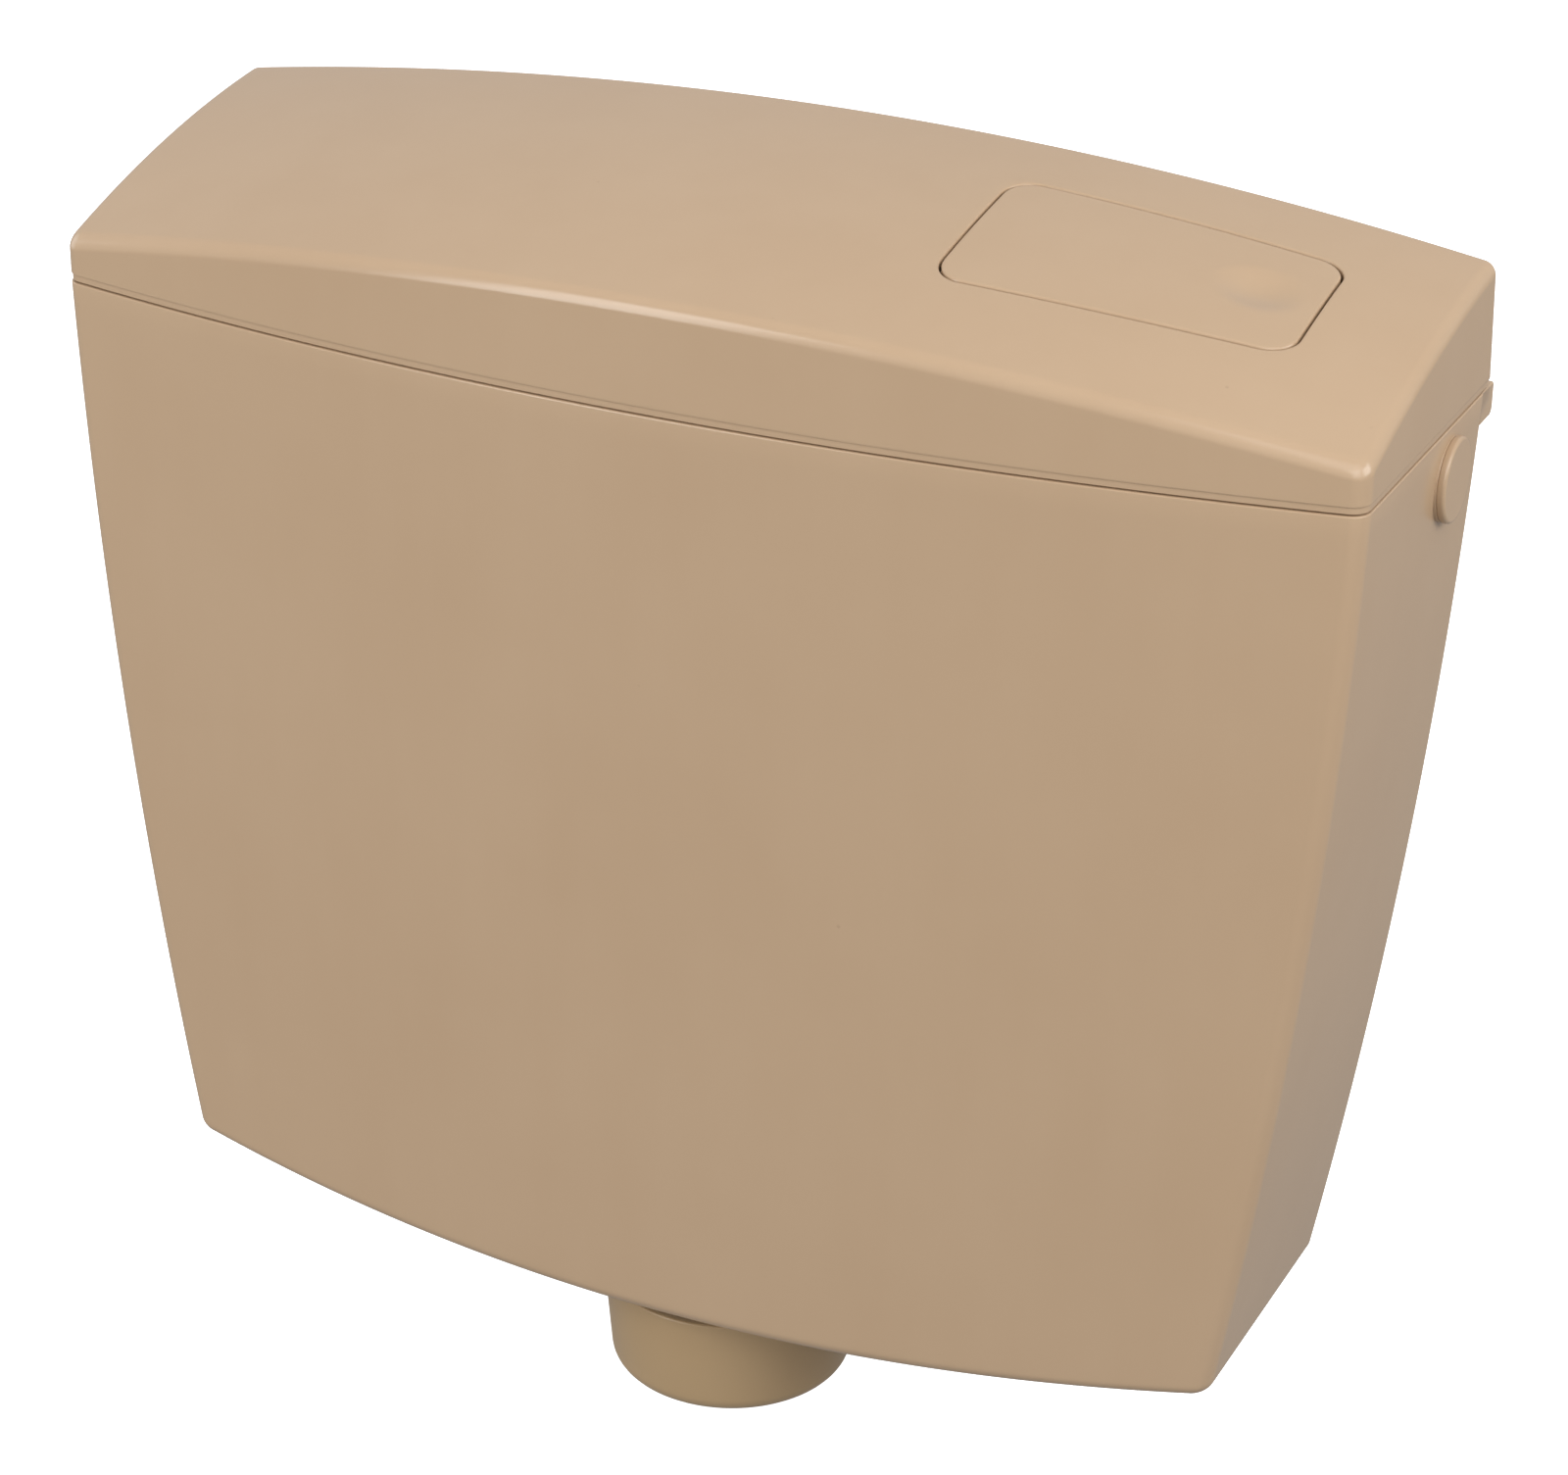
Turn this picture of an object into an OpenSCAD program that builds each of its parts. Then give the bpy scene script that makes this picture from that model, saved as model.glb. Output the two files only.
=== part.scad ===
// Low-level toilet cistern: a bowed plastic tank with an arched lid and a rocking flush plate,
// hung on a wall, with its filling valve, flushing valve and outlet coupling.
// X runs to the right as seen from the front, Y runs back to the wall, Z runs up.
// The origin lies on the wall, midway between the two fixing holes.

/* [Tank] */
// Width over the ends at the rim
tank_w = 440; // [400:1:480]
// Height of the rim above the lowest line of the floor
tank_h = 325; // [300:1:350]
// Depth from the back to the front corners at the rim
tank_depth = 115; // [110:0.5:125]
// Forward bow of the front between its corners at the rim
front_bow = 22.5; // [10:0.5:30]
// Width over the ends at the floor
foot_w = 376; // [350:1:400]
// Depth from the back to the front corners at the floor
foot_depth = 100.7; // [96:0.1:110]
// Forward bow of the front between its corners at the floor
foot_bow = 14.3; // [8:0.1:22]
// Rise of the floor from its middle to its ends
foot_rise = 15; // [5:0.5:20]
// Forward lean of the back from the rim to the floor
back_draft = 12; // [6:0.5:14]
// Outward bulge of the ends at half height
end_bulge = 5.5; // [0:0.5:8]
// Thickness of the tank's wall
tank_t = 3; // [2.5:0.1:3.5]
// Radius of the upright edges at the front
corner_r = 6.5; // [5:0.5:10]
// Radius of the upright edges at the back
back_corner_r = 4; // [3.8:0.1:6]
// Radius of the edge round the floor
foot_r = 5; // [4:0.5:8]
// Radius of the rim's outer shoulder
rim_r = 1.2; // [0.6:0.1:1.5]

/* [Wall side] */
// Height of the band behind the rim
band_h = 11; // [8:0.5:16]
// Depth of the band behind the rim
band_t = 10; // [8:0.5:14]
// Chamfer under the band
band_cut = 2.5; // [1:0.5:4]
// Distance between the two fixing holes
fix_span = 240; // [220:1:260]
// Depth of the fixing holes below the rim
fix_drop = 40; // [34:1:48]
// Diameter of the fixing holes
fix_d = 8.5; // [6.5:0.5:10]
// Diameter of the spacer sleeves on the fixing screws
spacer_d = 22; // [18:1:28]
// Distance between the two wall buffers
buffer_span = 260; // [200:5:300]
// Height of the wall buffers above the floor
buffer_up = 45; // [35:1:80]
// Diameter of the wall buffers
buffer_d = 24; // [16:1:30]
// Gap between a spacer or buffer and the tank's back
lay_gap = 0.05; // [0.02:0.01:0.1]

/* [Insulation] */
// Thickness of the foam liner
liner_t = 6; // [4:0.5:8]
// Gap between the liner and the tank
liner_gap = 0.4; // [0.3:0.1:0.8]
// Depth of the liner's edge below the rim
liner_drop = 60; // [55:1:90]

/* [Lid] */
// Height of the lid at its front corners
lid_front_h = 14; // [12:0.5:20]
// Further height of the lid at the middle of its front
lid_front_arch = 21.7; // [15:0.1:26]
// Height of the lid at its back corners
lid_back_h = 41; // [36:0.5:48]
// Further height of the lid at the middle of its back
lid_back_arch = 17.5; // [12:0.1:22]
// Upward crown of the top between front and back
lid_crown = 4.2; // [2:0.1:6]
// Thickness of the lid's skin
lid_t = 2.6; // [2.2:0.1:3]
// Reach of the lid's lower edge behind the tank's back
lid_over = 6; // [4:0.5:8]
// Forward lean of the lid's back
lid_lean = 3.5; // [1:0.5:5]
// Radius of the edge round the top
lid_edge_r = 4; // [3.5:0.5:6]
// Height of the stepped border along the lower edge
border_h = 2.7; // [2:0.1:4]
// Depth of the stepped border
border_in = 0.4; // [0.3:0.1:1.1]
// Depth of the locating skirt inside the tank
skirt_h = 3.5; // [2:0.5:3.5]
// Thickness of the locating skirt
skirt_t = 2.2; // [1.6:0.1:3]
// Gap between the skirt and the tank's wall
skirt_gap = 0.6; // [0.4:0.1:1]

/* [Flush plate] */
// Length of the flush plate
plate_l = 108; // [100:1:112]
// Radius of the plate's corners
plate_r = 9; // [6:0.5:12]
// Distance of the plate's centre from the tank's right end
plate_from_end = 91; // [88:1:95]
// Distance of the plate's straight back edge in front of the tank's back
plate_from_back = 30.5; // [28:0.5:34]
// Distance of the plate's bowed front edge behind the lid's front
plate_from_front = 40; // [36:0.5:42]
// Gap round the plate
plate_gap = 0.8; // [0.7:0.1:2]
// Thickness of the plate's skin
plate_t = 2.8; // [2.4:0.1:3.2]
// Depth of the rim under the plate
plate_rim_h = 7; // [5:0.5:8]
// Thickness of the rim under the plate
plate_rim_t = 1.8; // [1.5:0.1:3]
// Length of the thumb hollow
dimple_l = 31; // [24:1:36]
// Width of the thumb hollow
dimple_w = 25; // [20:1:30]
// Depth of the thumb hollow
dimple_deep = 2.2; // [1.5:0.1:3]
// Distance of the thumb hollow to the right of the plate's centre
dimple_x = 35; // [30:1:37]
// Distance of the thumb hollow in front of the plate's back edge
dimple_in = 25.5; // [23:0.5:28]
// Diameter of the plate's hinge pin
hinge_d = 4; // [3:0.5:5]
// Distance of the hinge pin from the plate's left edge
hinge_in = 6; // [5:0.5:9]
// Thickness of the lugs on the hinge pin, along the pin
hinge_lug = 5; // [4:0.5:7]
// Wall of the lugs round the hinge pin
hinge_wall = 3; // [2:0.5:4]
// Distance of the presser leg from the hinge pin
presser_reach = 80; // [70:1:84]
// Diameter of the presser leg
presser_d = 8; // [6:0.5:10]
// Play between the presser leg and the lever
presser_play = 0.6; // [0.5:0.1:1.5]

/* [Lift lever] */
// Distance of the lever's pivot to the right of the flushing valve
lever_x = 100; // [90:1:108]
// Depth of the lever's pivot below the rim
lever_drop = 12; // [10:0.5:14]
// Height of the lever
lever_h = 10; // [8:0.5:12]
// Width of the lever
lever_w = 12; // [8:0.5:14]
// Reach of the lever past the yoke's bar and past the presser
lever_tip = 8; // [7:0.5:12]
// Diameter of the lever's hub
lever_hub_d = 16; // [14:0.5:18]
// Diameter of the lever's pivot pin
lever_pin_d = 6; // [4:0.5:8]
// Side play of the lever between its lugs
lever_play = 1; // [0.5:0.1:2]
// Thickness of the bridge's lugs
lug_t = 5; // [4:0.5:7]
// Width of the bridge
bridge_w = 18; // [16:1:24]
// Height of the bridge's beam
bridge_h = 8; // [6:0.5:10]
// Room between the lever's hub and the bridge's beam
bridge_room = 4; // [3:0.5:6]
// Depth of the ledges that carry the bridge
ledge_d = 10; // [8:1:14]
// Height of the ledges that carry the bridge
ledge_h = 8; // [6:1:12]
// End play of the bridge between the tank's walls
bridge_play = 1; // [0.5:0.1:1.5]

/* [Outlet] */
// Distance of the outlet in front of the tank's back
out_from_back = 70.5; // [68:0.5:74]
// Diameter of the outlet's threaded shank
shank_d = 59.6; // [58:0.1:64]
// Bore that takes the flush pipe
pipe_bore_d = 50.6; // [48:0.1:52]
// Length of the bore that takes the flush pipe
pipe_bore_l = 30; // [25:1:32]
// Bore above the flush pipe's stop
stop_d = 47; // [44:0.5:48]
// Length of the shank below the floor
shank_l = 36; // [34:0.5:44]
// Diameter of the flange inside the tank
flange_d = 88; // [84:1:90]
// Thickness of the flange inside the tank
flange_t = 4; // [3:0.5:6]
// Inner diameter of the valve seat
seat_d = 54; // [50:0.5:55]
// Wall of the shank at the throat below the valve seat
throat_wall = 2.8; // [2.4:0.1:3.4]
// Height of the valve seat above the flange
seat_h = 3; // [2:0.5:4]
// Width of the valve seat's edge
seat_edge = 3; // [2:0.5:4]
// Thickness of the rubber gasket under the flange
gasket_t = 3; // [2:0.5:4]
// Diameter of the flat pad moulded round the outlet
pad_d = 92; // [90:1:94]
// Height of that pad above the lowest line of the floor
pad_up = 4.4; // [4.2:0.1:6]
// Depth of that pad below the lowest line of the floor
pad_down = 0.6; // [0.3:0.1:1]
// Distance across the corners of the outlet's lock nut
lock_d = 80; // [76:1:82]
// Thickness of the outlet's lock nut
lock_t = 7; // [6.5:0.5:9]
// Diameter of the union nut at its upper edge
union_top_d = 88.5; // [86:0.5:92]
// Diameter of the union nut near its lower edge
union_foot_d = 82; // [76:0.5:84]
// Radius of the union nut's lower edge
union_r = 7; // [4:0.5:9]
// Thickness of the union nut's walls
union_t = 3; // [2.5:0.5:4]
// Thickness of the union nut's floor
union_floor = 5; // [4:0.5:7]
// Hole in the union nut's floor
union_hole_d = 52.4; // [52.4:0.1:54]
// Gap between the lock nut and the union nut
union_gap = 0.9; // [0.5:0.1:2]
// Height of the flush pipe's rubber seal
pipe_seal_h = 5; // [4:0.5:7]
// Clearance of a screwed or slipped-on piece
thread_gap = 0.15; // [0.1:0.05:0.3]

/* [Flushing valve] */
// Diameter of the valve cage
cage_d = 82; // [80:1:86]
// Height of the valve cage
cage_h = 112; // [108:1:130]
// Thickness of the cage's posts and rings
cage_t = 5; // [4:0.5:6]
// Width of the cage's posts
cage_post_w = 8; // [6:0.5:12]
// Outer diameter of the overflow tube
tube_d = 30; // [28:0.5:32]
// Wall of the overflow tube
tube_t = 2; // [1.5:0.1:2.5]
// Depth of the overflow tube's upper edge below the rim
overflow_drop = 75; // [70:1:85]
// Clearance of the tube in the cage's guide
guide_gap = 0.4; // [0.3:0.05:0.6]
// Diameter of the valve's rubber seal
seal_d = 62; // [61:0.5:64]
// Thickness of the valve's rubber seal
seal_t = 4; // [3:0.5:5]
// Diameter of the flange at the tube's foot
tube_foot_d = 48; // [44:0.5:52]
// Thickness of the flange at the tube's foot
tube_foot_t = 3; // [2:0.5:4]
// Diameter of the retainer under the seal
retainer_d = 44; // [40:0.5:46]
// Thickness of the retainer under the seal
retainer_t = 4; // [3:0.5:5]
// Length of the retainer's neck in the tube
retainer_neck = 16; // [12:1:20]
// Diameter of the closing float on the tube
collar_d = 60; // [54:1:62]
// Height of the closing float on the tube
collar_h = 48; // [40:1:52]
// Height of the closing float above the seal
collar_up = 20; // [16:1:24]
// Thickness of the stop ring under the closing float
stop_t = 2; // [1.5:0.5:3]
// Height of the yoke's ring on the tube
yoke_ring_h = 14; // [10:1:18]
// Thickness of the yoke's ring and straps
yoke_t = 3.2; // [2.5:0.1:4]
// Width of the yoke's straps
yoke_w = 10; // [8:0.5:12]
// Diameter of the yoke's bar
yoke_bar_d = 6; // [5:0.5:8]
// Play between the lever and the yoke's bar
yoke_play = 0.5; // [0.4:0.1:1]

/* [Inlets] */
// Distance of the two inlets in front of the tank's back
inlet_from_back = 32.5; // [30:0.5:36]
// Depth of the two inlets below the rim
inlet_drop = 17.5; // [17.5:0.5:20]
// Diameter of the inlet holes
inlet_hole_d = 21.6; // [21.4:0.1:22.5]
// Diameter of the flat pads moulded round the inlets
inlet_pad_d = 27; // [25:0.5:27]
// Height of those pads outside the wall
inlet_pad_out = 0.7; // [0.6:0.1:1.5]
// Height of those pads inside the wall
inlet_pad_in = 1.9; // [1.5:0.1:3]
// Diameter of the blanking cap
cap_d = 27; // [27:0.5:32]
// Thickness of the blanking cap's head
cap_t = 2.6; // [2.4:0.1:4]
// Radius of the blanking cap's edge
cap_r = 1.2; // [0.8:0.1:1.2]
// Diameter of the blanking cap's shank
cap_shank_d = 20.8; // [20:0.1:21.2]
// Bore of the blanking cap's shank
cap_bore_d = 15; // [12:0.5:17]
// Thickness of the rubber washers on the inlets
washer_t = 2.5; // [2:0.5:3]
// Distance across the corners of the inlet nuts
inlet_nut_d = 31; // [29:0.5:32]
// Thickness of the inlet nuts
inlet_nut_t = 8; // [6:0.5:9]

/* [Filling valve] */
// Diameter of the inlet thread
thread_d = 20.956; // [20.9:0.001:21.1]
// Length of the free inlet thread outside its lock nut
thread_l = 14; // [12:0.5:18]
// Width of the groove between the free thread and the lock nut
groove_w = 2; // [1.5:0.5:3]
// Depth of that groove
groove_deep = 0.9; // [0.5:0.1:1.2]
// Diameter of the water way
way_d = 10; // [8:0.5:11]
// Diameter of the seat for the strainer
strainer_d = 13; // [12:0.5:14]
// Length of the strainer
strainer_l = 15; // [12:1:18]
// Wall of the strainer
strainer_t = 0.8; // [0.6:0.1:1.2]
// Diameter of the valve's flange
valve_flange_d = 30; // [28:0.5:31]
// Thickness of the valve's flange
valve_flange_t = 4; // [3:0.5:5]
// Diameter of the valve's barrel
barrel_d = 26; // [24:0.5:26]
// Length of the valve's barrel
barrel_l = 58; // [56:1:62]
// Distance of the nozzle's mouth from the flange
nozzle_at = 30; // [28:1:32]
// Diameter of the nozzle insert
nozzle_d = 12; // [11.5:0.1:12.5]
// Bore of the nozzle insert
nozzle_bore_d = 4; // [3:0.5:5]
// Length of the nozzle insert
nozzle_l = 8; // [6:0.5:9]
// Diameter of the plunger
plunger_d = 16; // [15:0.5:17]
// Running clearance of the plunger and of the pivot pins
run_gap = 0.05; // [0.03:0.01:0.08]
// Travel of the plunger
plunger_travel = 6; // [6:0.1:7]
// Thickness of the plunger's rubber seal
plunger_seal_t = 3; // [2:0.5:4]
// Diameter of the downpipe's spigot under the barrel
drop_spigot_d = 10; // [9:0.5:11]
// Length of the downpipe's spigot under the barrel
drop_spigot_l = 10; // [8:1:12]
// Bore of the downpipe's spigot
drop_bore_d = 7; // [6:0.5:7.5]
// Wall of the downpipe
drop_t = 2; // [1.5:0.1:2.5]
// Height of the downpipe's foot above the floor
drop_up = 120; // [100:5:160]

/* [Float arm] */
// Distance of the float arm's pivot from the barrel's end
pivot_out = 18; // [16:0.5:20]
// Depth of the float arm's pivot below the valve's axis
pivot_drop = 17; // [16.5:0.5:18]
// Diameter of the float arm's pivot pin
pivot_d = 4; // [3:0.5:5]
// Diameter of the float arm's hub
pivot_hub_d = 11; // [9:0.5:12]
// Width of the float arm
arm_w = 8; // [6:0.5:9]
// Height of the float arm
arm_h = 8; // [6:0.5:9]
// Side play of the float arm between the lugs
arm_play = 0.5; // [0.3:0.1:0.8]
// Thickness of the valve's lugs
arm_lug_t = 4; // [3:0.5:5]
// Diameter of the horn's nose that pushes the plunger
horn_d = 6; // [5:0.5:7]
// Play between the horn and the plunger
horn_play = 0.4; // [0.3:0.05:0.6]
// Distance of the float's rod from the pivot
arm_reach = 57; // [54:1:59]
// Diameter of the float's rod
rod_d = 6; // [5:0.5:7]
// Length of the float's rod above the arm
rod_up = 8; // [7:1:10]
// Depth of the float's rod in the float
rod_in = 26; // [20:1:32]
// Diameter of the rod's knurled nut
rod_nut_d = 14; // [12:0.5:15]
// Thickness of the rod's knurled nut
rod_nut_t = 5; // [4:0.5:6]
// Length of the float
float_l = 58; // [50:1:60]
// Width of the float
float_w = 54; // [48:1:56]
// Height of the float
float_h = 45; // [38:1:48]
// Radius of the float's upright edges
float_r = 10; // [4:1:14]
// Distance of the float's middle in front of its rod
float_fore = 14; // [12:0.5:16]
// Room between the arm and the float
float_gap = 20; // [18:1:24]

/* [Hidden] */
$fn = 64;

// Colours of the finishes
beige = [0.70, 0.59, 0.46];
white_plastic = [0.90, 0.90, 0.88];
grey_plastic = [0.62, 0.64, 0.66];
foam = [0.96, 0.96, 0.95];
rubber = [0.13, 0.13, 0.14];
steel = [0.75, 0.76, 0.78];
brass = [0.78, 0.62, 0.30];

// Segments of the bowed front, of an upright edge, of a wall's height and of a rounded edge
bow_n = 16;
corner_n = 4;
wall_n = 7;
edge_n = 4;
// Rows of facets across the lid's top, and facets along and across the flush plate
lid_rows = 6;
plate_nx = 24;
plate_ny = 13;
// Smallest radius of an inner edge, and how far a cut runs past a face
least_r = 0.8;
past = 1;

// Places that the pieces share
rim = fix_drop;
foot = rim - tank_h;
back = -band_t;
lid_hw = tank_w / 2;
out_y = back - out_from_back;
in_y = back - inlet_from_back;
in_z = rim - inlet_drop;

// Levels of the outlet, from the floor pad upwards and downwards
pad_top = foot + pad_up;
pad_foot = foot - pad_down;
flange_z = pad_top + gasket_t;
cage_z = flange_z + flange_t;
seat_z = cage_z + seat_h;
shank_end = foot - shank_l;
union_top = pad_foot - lock_t - union_gap;
union_in = shank_end - pipe_seal_h;
union_foot = union_in - union_floor;
tube_z = seat_z + seal_t;
collar_z = tube_z + collar_up;
tube_top = rim - overflow_drop;

// Levels of the lever, the bridge and the yoke
lever_z = rim - lever_drop;
lever_top = lever_z + lever_h / 2;
bridge_top = lever_z - lever_hub_d / 2 - bridge_room;
bridge_z = bridge_top - bridge_h;
yoke_bar_z = lever_top + yoke_play + yoke_bar_d / 2;

// Plate, its hinge pin and its presser leg
plate_x = lid_hw - plate_from_end;
plate_back = back - plate_from_back;
plate_left = plate_x - plate_l / 2;
hinge_x = plate_left + hinge_in;
ear_gap = plate_gap + skirt_gap;
pin_y0 = plate_front(hinge_x) - ear_gap - hinge_lug;
pin_y1 = plate_back + ear_gap + hinge_lug;
hinge_z = lid_top(hinge_x, pin_y0) - lid_t - hinge_d / 2 - hinge_wall;
presser_x = hinge_x + presser_reach;
presser_z = lever_top + presser_play;

// Inlet planes along X, from the wall outwards and inwards
inlet_share = (in_z - foot - foot_rise) / (tank_h - foot_rise);
pad_out_x = half_w(inlet_share) + inlet_pad_out;
pad_in_x = half_w(inlet_share) - tank_t - inlet_pad_in;
valve_x = -(pad_in_x - washer_t);
barrel_end = valve_x + valve_flange_t + barrel_l;
nozzle_x = valve_x + nozzle_at;
chamber_x = nozzle_x + plunger_travel;
drop_x = nozzle_x + drop_spigot_d / 2 - past;
pivot_x = barrel_end + pivot_out;
pivot_z = in_z - pivot_drop;
plunger_end = pivot_x - horn_d / 2 - horn_play;
rod_x = pivot_x + arm_reach;
float_top = pivot_z - arm_h / 2 - float_gap;

// Tank's half width, back, front corner and bow at the share t of its height
function half_w(t) = foot_w / 2 + (tank_w - foot_w) / 2 * t + 4 * end_bulge * t * (1 - t);
function back_y(t) = back - back_draft * (1 - t);
function front_y(t) = back_y(t) - foot_depth - (tank_depth - foot_depth) * t;
function bow(t) = foot_bow + (front_bow - foot_bow) * t;
function bow_y(x, t) = front_y(t) - bow(t) * (1 - pow(x / half_w(t), 2));
// Height of the arched floor at the share s of the half width, and of a wall's point above it
function floor_z(s) = foot + foot_rise * s * s;
function wall_z(t, s) = floor_z(s) + (rim - floor_z(s)) * t;
function share_at(z) = (z - foot) / tank_h;

// Height of the lid's top: an arch along X on a crowned slope from front to back
function lid_front(x) = bow_y(x, 1);
function lid_top(x, y) =
    let (lid_back = back + lid_over - lid_lean, f = (y - lid_front(x)) / (lid_back - lid_front(x)))
    rim + lid_front_h + (lid_back_h - lid_front_h) * f + 4 * lid_crown * f * (1 - f)
    + (lid_front_arch + (lid_back_arch - lid_front_arch) * f) * (1 - pow(x / lid_hw, 2));
// Front edge of the flush plate, which runs along the lid's bowed front
function plate_front(x) = lid_front(x) + plate_from_front;
// Height of the flush plate's top: the lid's top with the thumb hollow pressed in
function plate_top(x, y) =
    let (u = (x - plate_x - dimple_x) / dimple_l * 2, v = (y - plate_back + dimple_in) / dimple_w * 2)
    lid_top(x, y) - dimple_deep * pow(max(0, 1 - u * u - v * v), 2);

// Closed plan outline: the bowed front from left to right, the right end, the wall side and the left end.
// Each end carries the points that a cap with that many rows needs.
function outline(w, y_back, y_front, b, rf, rb, rows = 1) =
    let (
        lean = atan(2 * b / w),
        run = rf * (1 - sin(lean)) / cos(lean),
        cy = y_front + rf * cos(lean) - run * sin(lean),
        xe = w - run * cos(lean),
        front_arc = [for (i = [0 : corner_n]) let (a = (lean - 90) * i / corner_n)
            [w - rf + rf * cos(a), cy + rf * sin(a)]],
        back_arc = [for (i = [0 : corner_n]) let (a = 90 * i / corner_n)
            [w - rb + rb * cos(a), y_back - rb + rb * sin(a)]],
        bow_line = [for (i = [1 : bow_n - 1]) let (x = xe * (2 * i / bow_n - 1))
            [x, y_front - b * (1 - x * x / w / w)]],
        back_line = [for (i = [1 : bow_n - 1]) [(w - rb) * (1 - 2 * i / bow_n), y_back]],
        end_line = [for (j = [1 : 1 : rows - 1]) [w, cy + (y_back - rb - cy) * j / rows]]
    )
    concat(
        [for (p = front_arc) [-p.x, p.y]], bow_line, reversed(front_arc), end_line,
        back_arc, back_line, reversed([for (p = back_arc) [-p.x, p.y]]),
        reversed([for (p = end_line) [-p.x, p.y]])
    );
function reversed(list) = [for (i = [len(list) - 1 : -1 : 0]) list[i]];

// Ring round the tank at the share t of its height, set in from the outer face by e
function tank_ring(t, e) =
    let (w = half_w(t))
    [for (p = outline(w - e, back_y(t) - e, front_y(t) + e, bow(t), max(corner_r - e, least_r),
            max(back_corner_r - e, least_r)))
        [p.x, p.y, wall_z(t, min(1, abs(p.x) / w))]];
// Rings of a tub's face set in by e: its floor edge of radius r, then its wall up to the share t_end
function tub_rings(e, r, t_end) =
    let (t_edge = (e + r) / tank_h)
    concat(
        [for (i = [0 : edge_n - 1]) let (a = 90 - 90 * i / edge_n)
            tank_ring((e + r * (1 - sin(a))) / tank_h, e + r * (1 - cos(a)))],
        [for (i = [0 : wall_n]) tank_ring(t_edge + (t_end - t_edge) * i / wall_n, e)]
    );
// Ring round the lid set in by e, reaching behind the tank's back by over, at the height z of x and y
function lid_ring(e, over, z) =
    [for (p = outline(lid_hw - e, back + over - e, front_y(1) + e, front_bow, max(corner_r - e, least_r),
            max(back_corner_r - e, least_r), lid_rows))
        [p.x, p.y, z(p.x, p.y)]];
function level(h) = function (x, y) rim + h;
function under_lid(d) = function (x, y) lid_top(x, y) - d;
function under_plate(d) = function (x, y) plate_top(x, y) - d;
// Rings of the lid's rounded top edge, set in by e and of radius r, from the top down to the upright face
function edge_rings(e, r) = [for (i = [0 : edge_n]) let (a = 90 - 90 * i / edge_n)
    lid_ring(e + r * (1 - cos(a)), lid_over - lid_lean, under_lid(e + r * (1 - sin(a))))];

// Plan of the flush plate set in by e: a rectangle with round corners, drawn out to its bowed front edge
function plate_ring(e) =
    let (l = plate_l / 2 - e, w = (plate_back - plate_front(plate_x)) / 2 - e, r = plate_r - e)
    [for (p = outline(l, w, -w, 0, r, r)) let (x = plate_x + p.x, y = plate_back - e)
        [x, y + (plate_front(x) + e - y) * (w - p.y) / w / 2]];

// Closed skin through a list of rings, each cap a grid of rows from a ring's front to its back
module loft(rings, rows = 1, z_first = undef, z_last = undef) {
    n = len(rings[0]);
    end = n / 2 - rows;
    last = len(rings) - 1;
    fill_n = (end - 1) * (rows - 1);
    function back_of(i) = end + rows + end - i;
    function fill(ring, z) = [for (i = [1 : end - 1], j = [1 : 1 : rows - 1])
        let (p = ring[i] + (ring[back_of(i)] - ring[i]) * j / rows) [p.x, p.y, z(p.x, p.y)]];
    function at(k, i, j) =
        j == 0 ? k * n + i
        : j == rows ? k * n + back_of(i)
        : i == end ? k * n + end + j
        : i == 0 ? k * n + n - j
        : (last + 1) * n + (k == 0 ? 0 : fill_n) + (i - 1) * (rows - 1) + j - 1;
    function cap(k) = [for (i = [0 : end - 1], j = [0 : rows - 1])
        each [[at(k, i, j), at(k, i + 1, j), at(k, i + 1, j + 1)],
            [at(k, i, j), at(k, i + 1, j + 1), at(k, i, j + 1)]]];
    sides = [for (k = [0 : last - 1], i = [0 : n - 1])
        let (a = k * n + i, b = k * n + (i + 1) % n)
        each [[a, a + n, b + n], [a, b + n, b]]];
    points = concat([for (r = rings) each r], fill(rings[0], z_first), fill(rings[last], z_last));
    polyhedron(points, concat(sides, cap(0), [for (f = cap(last)) reversed(f)]));
}

// Closed block over a rectangle in plan, between two heights given as functions of x and y
module slab(x0, x1, y0, y1, nx, ny, top, bottom) {
    rows = [for (j = [0 : ny]) y0 + (y1 - y0) * j / ny];
    columns = [for (i = [0 : nx]) x0 + (x1 - x0) * i / nx];
    count = (nx + 1) * (ny + 1);
    function at(i, j) = j * (nx + 1) + i;
    points = concat([for (y = rows, x = columns) [x, y, top(x, y)]],
        [for (y = rows, x = columns) [x, y, bottom(x, y)]]);
    grid = [for (j = [0 : ny - 1], i = [0 : nx - 1])
        each [[at(i, j), at(i + 1, j + 1), at(i + 1, j)], [at(i, j), at(i, j + 1), at(i + 1, j + 1)]]];
    edge = concat([for (i = [0 : nx - 1]) at(i, 0)], [for (j = [0 : ny - 1]) at(nx, j)],
        [for (i = [nx : -1 : 1]) at(i, ny)], [for (j = [ny : -1 : 1]) at(0, j)]);
    walls = [for (k = [0 : len(edge) - 1]) let (a = edge[k], b = edge[(k + 1) % len(edge)])
        each [[a, b, b + count], [a, b + count, a + count]]];
    polyhedron(points, concat(grid, [for (f = grid) reversed([for (v = f) v + count])], walls));
}

// Rectangle with round corners, centred
module rounded(l, w, r) {
    square([l - 2 * r, w], center = true);
    square([l, w - 2 * r], center = true);
    for (x = [-1, 1], y = [-1, 1]) translate([x * (l / 2 - r), y * (w / 2 - r)]) circle(r);
}

// Round bar along X from x0 to x1, centred on the inlets' axis
module bar_x(d, x0, x1) translate([min(x0, x1), in_y, in_z]) rotate([0, 90, 0]) cylinder(d = d, h = abs(x1 - x0));
// Round bar along Y from y0 to y1
module bar_y(d, x, z, y0, y1) translate([x, y0, z]) rotate([-90, 0, 0]) cylinder(d = d, h = y1 - y0);
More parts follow.
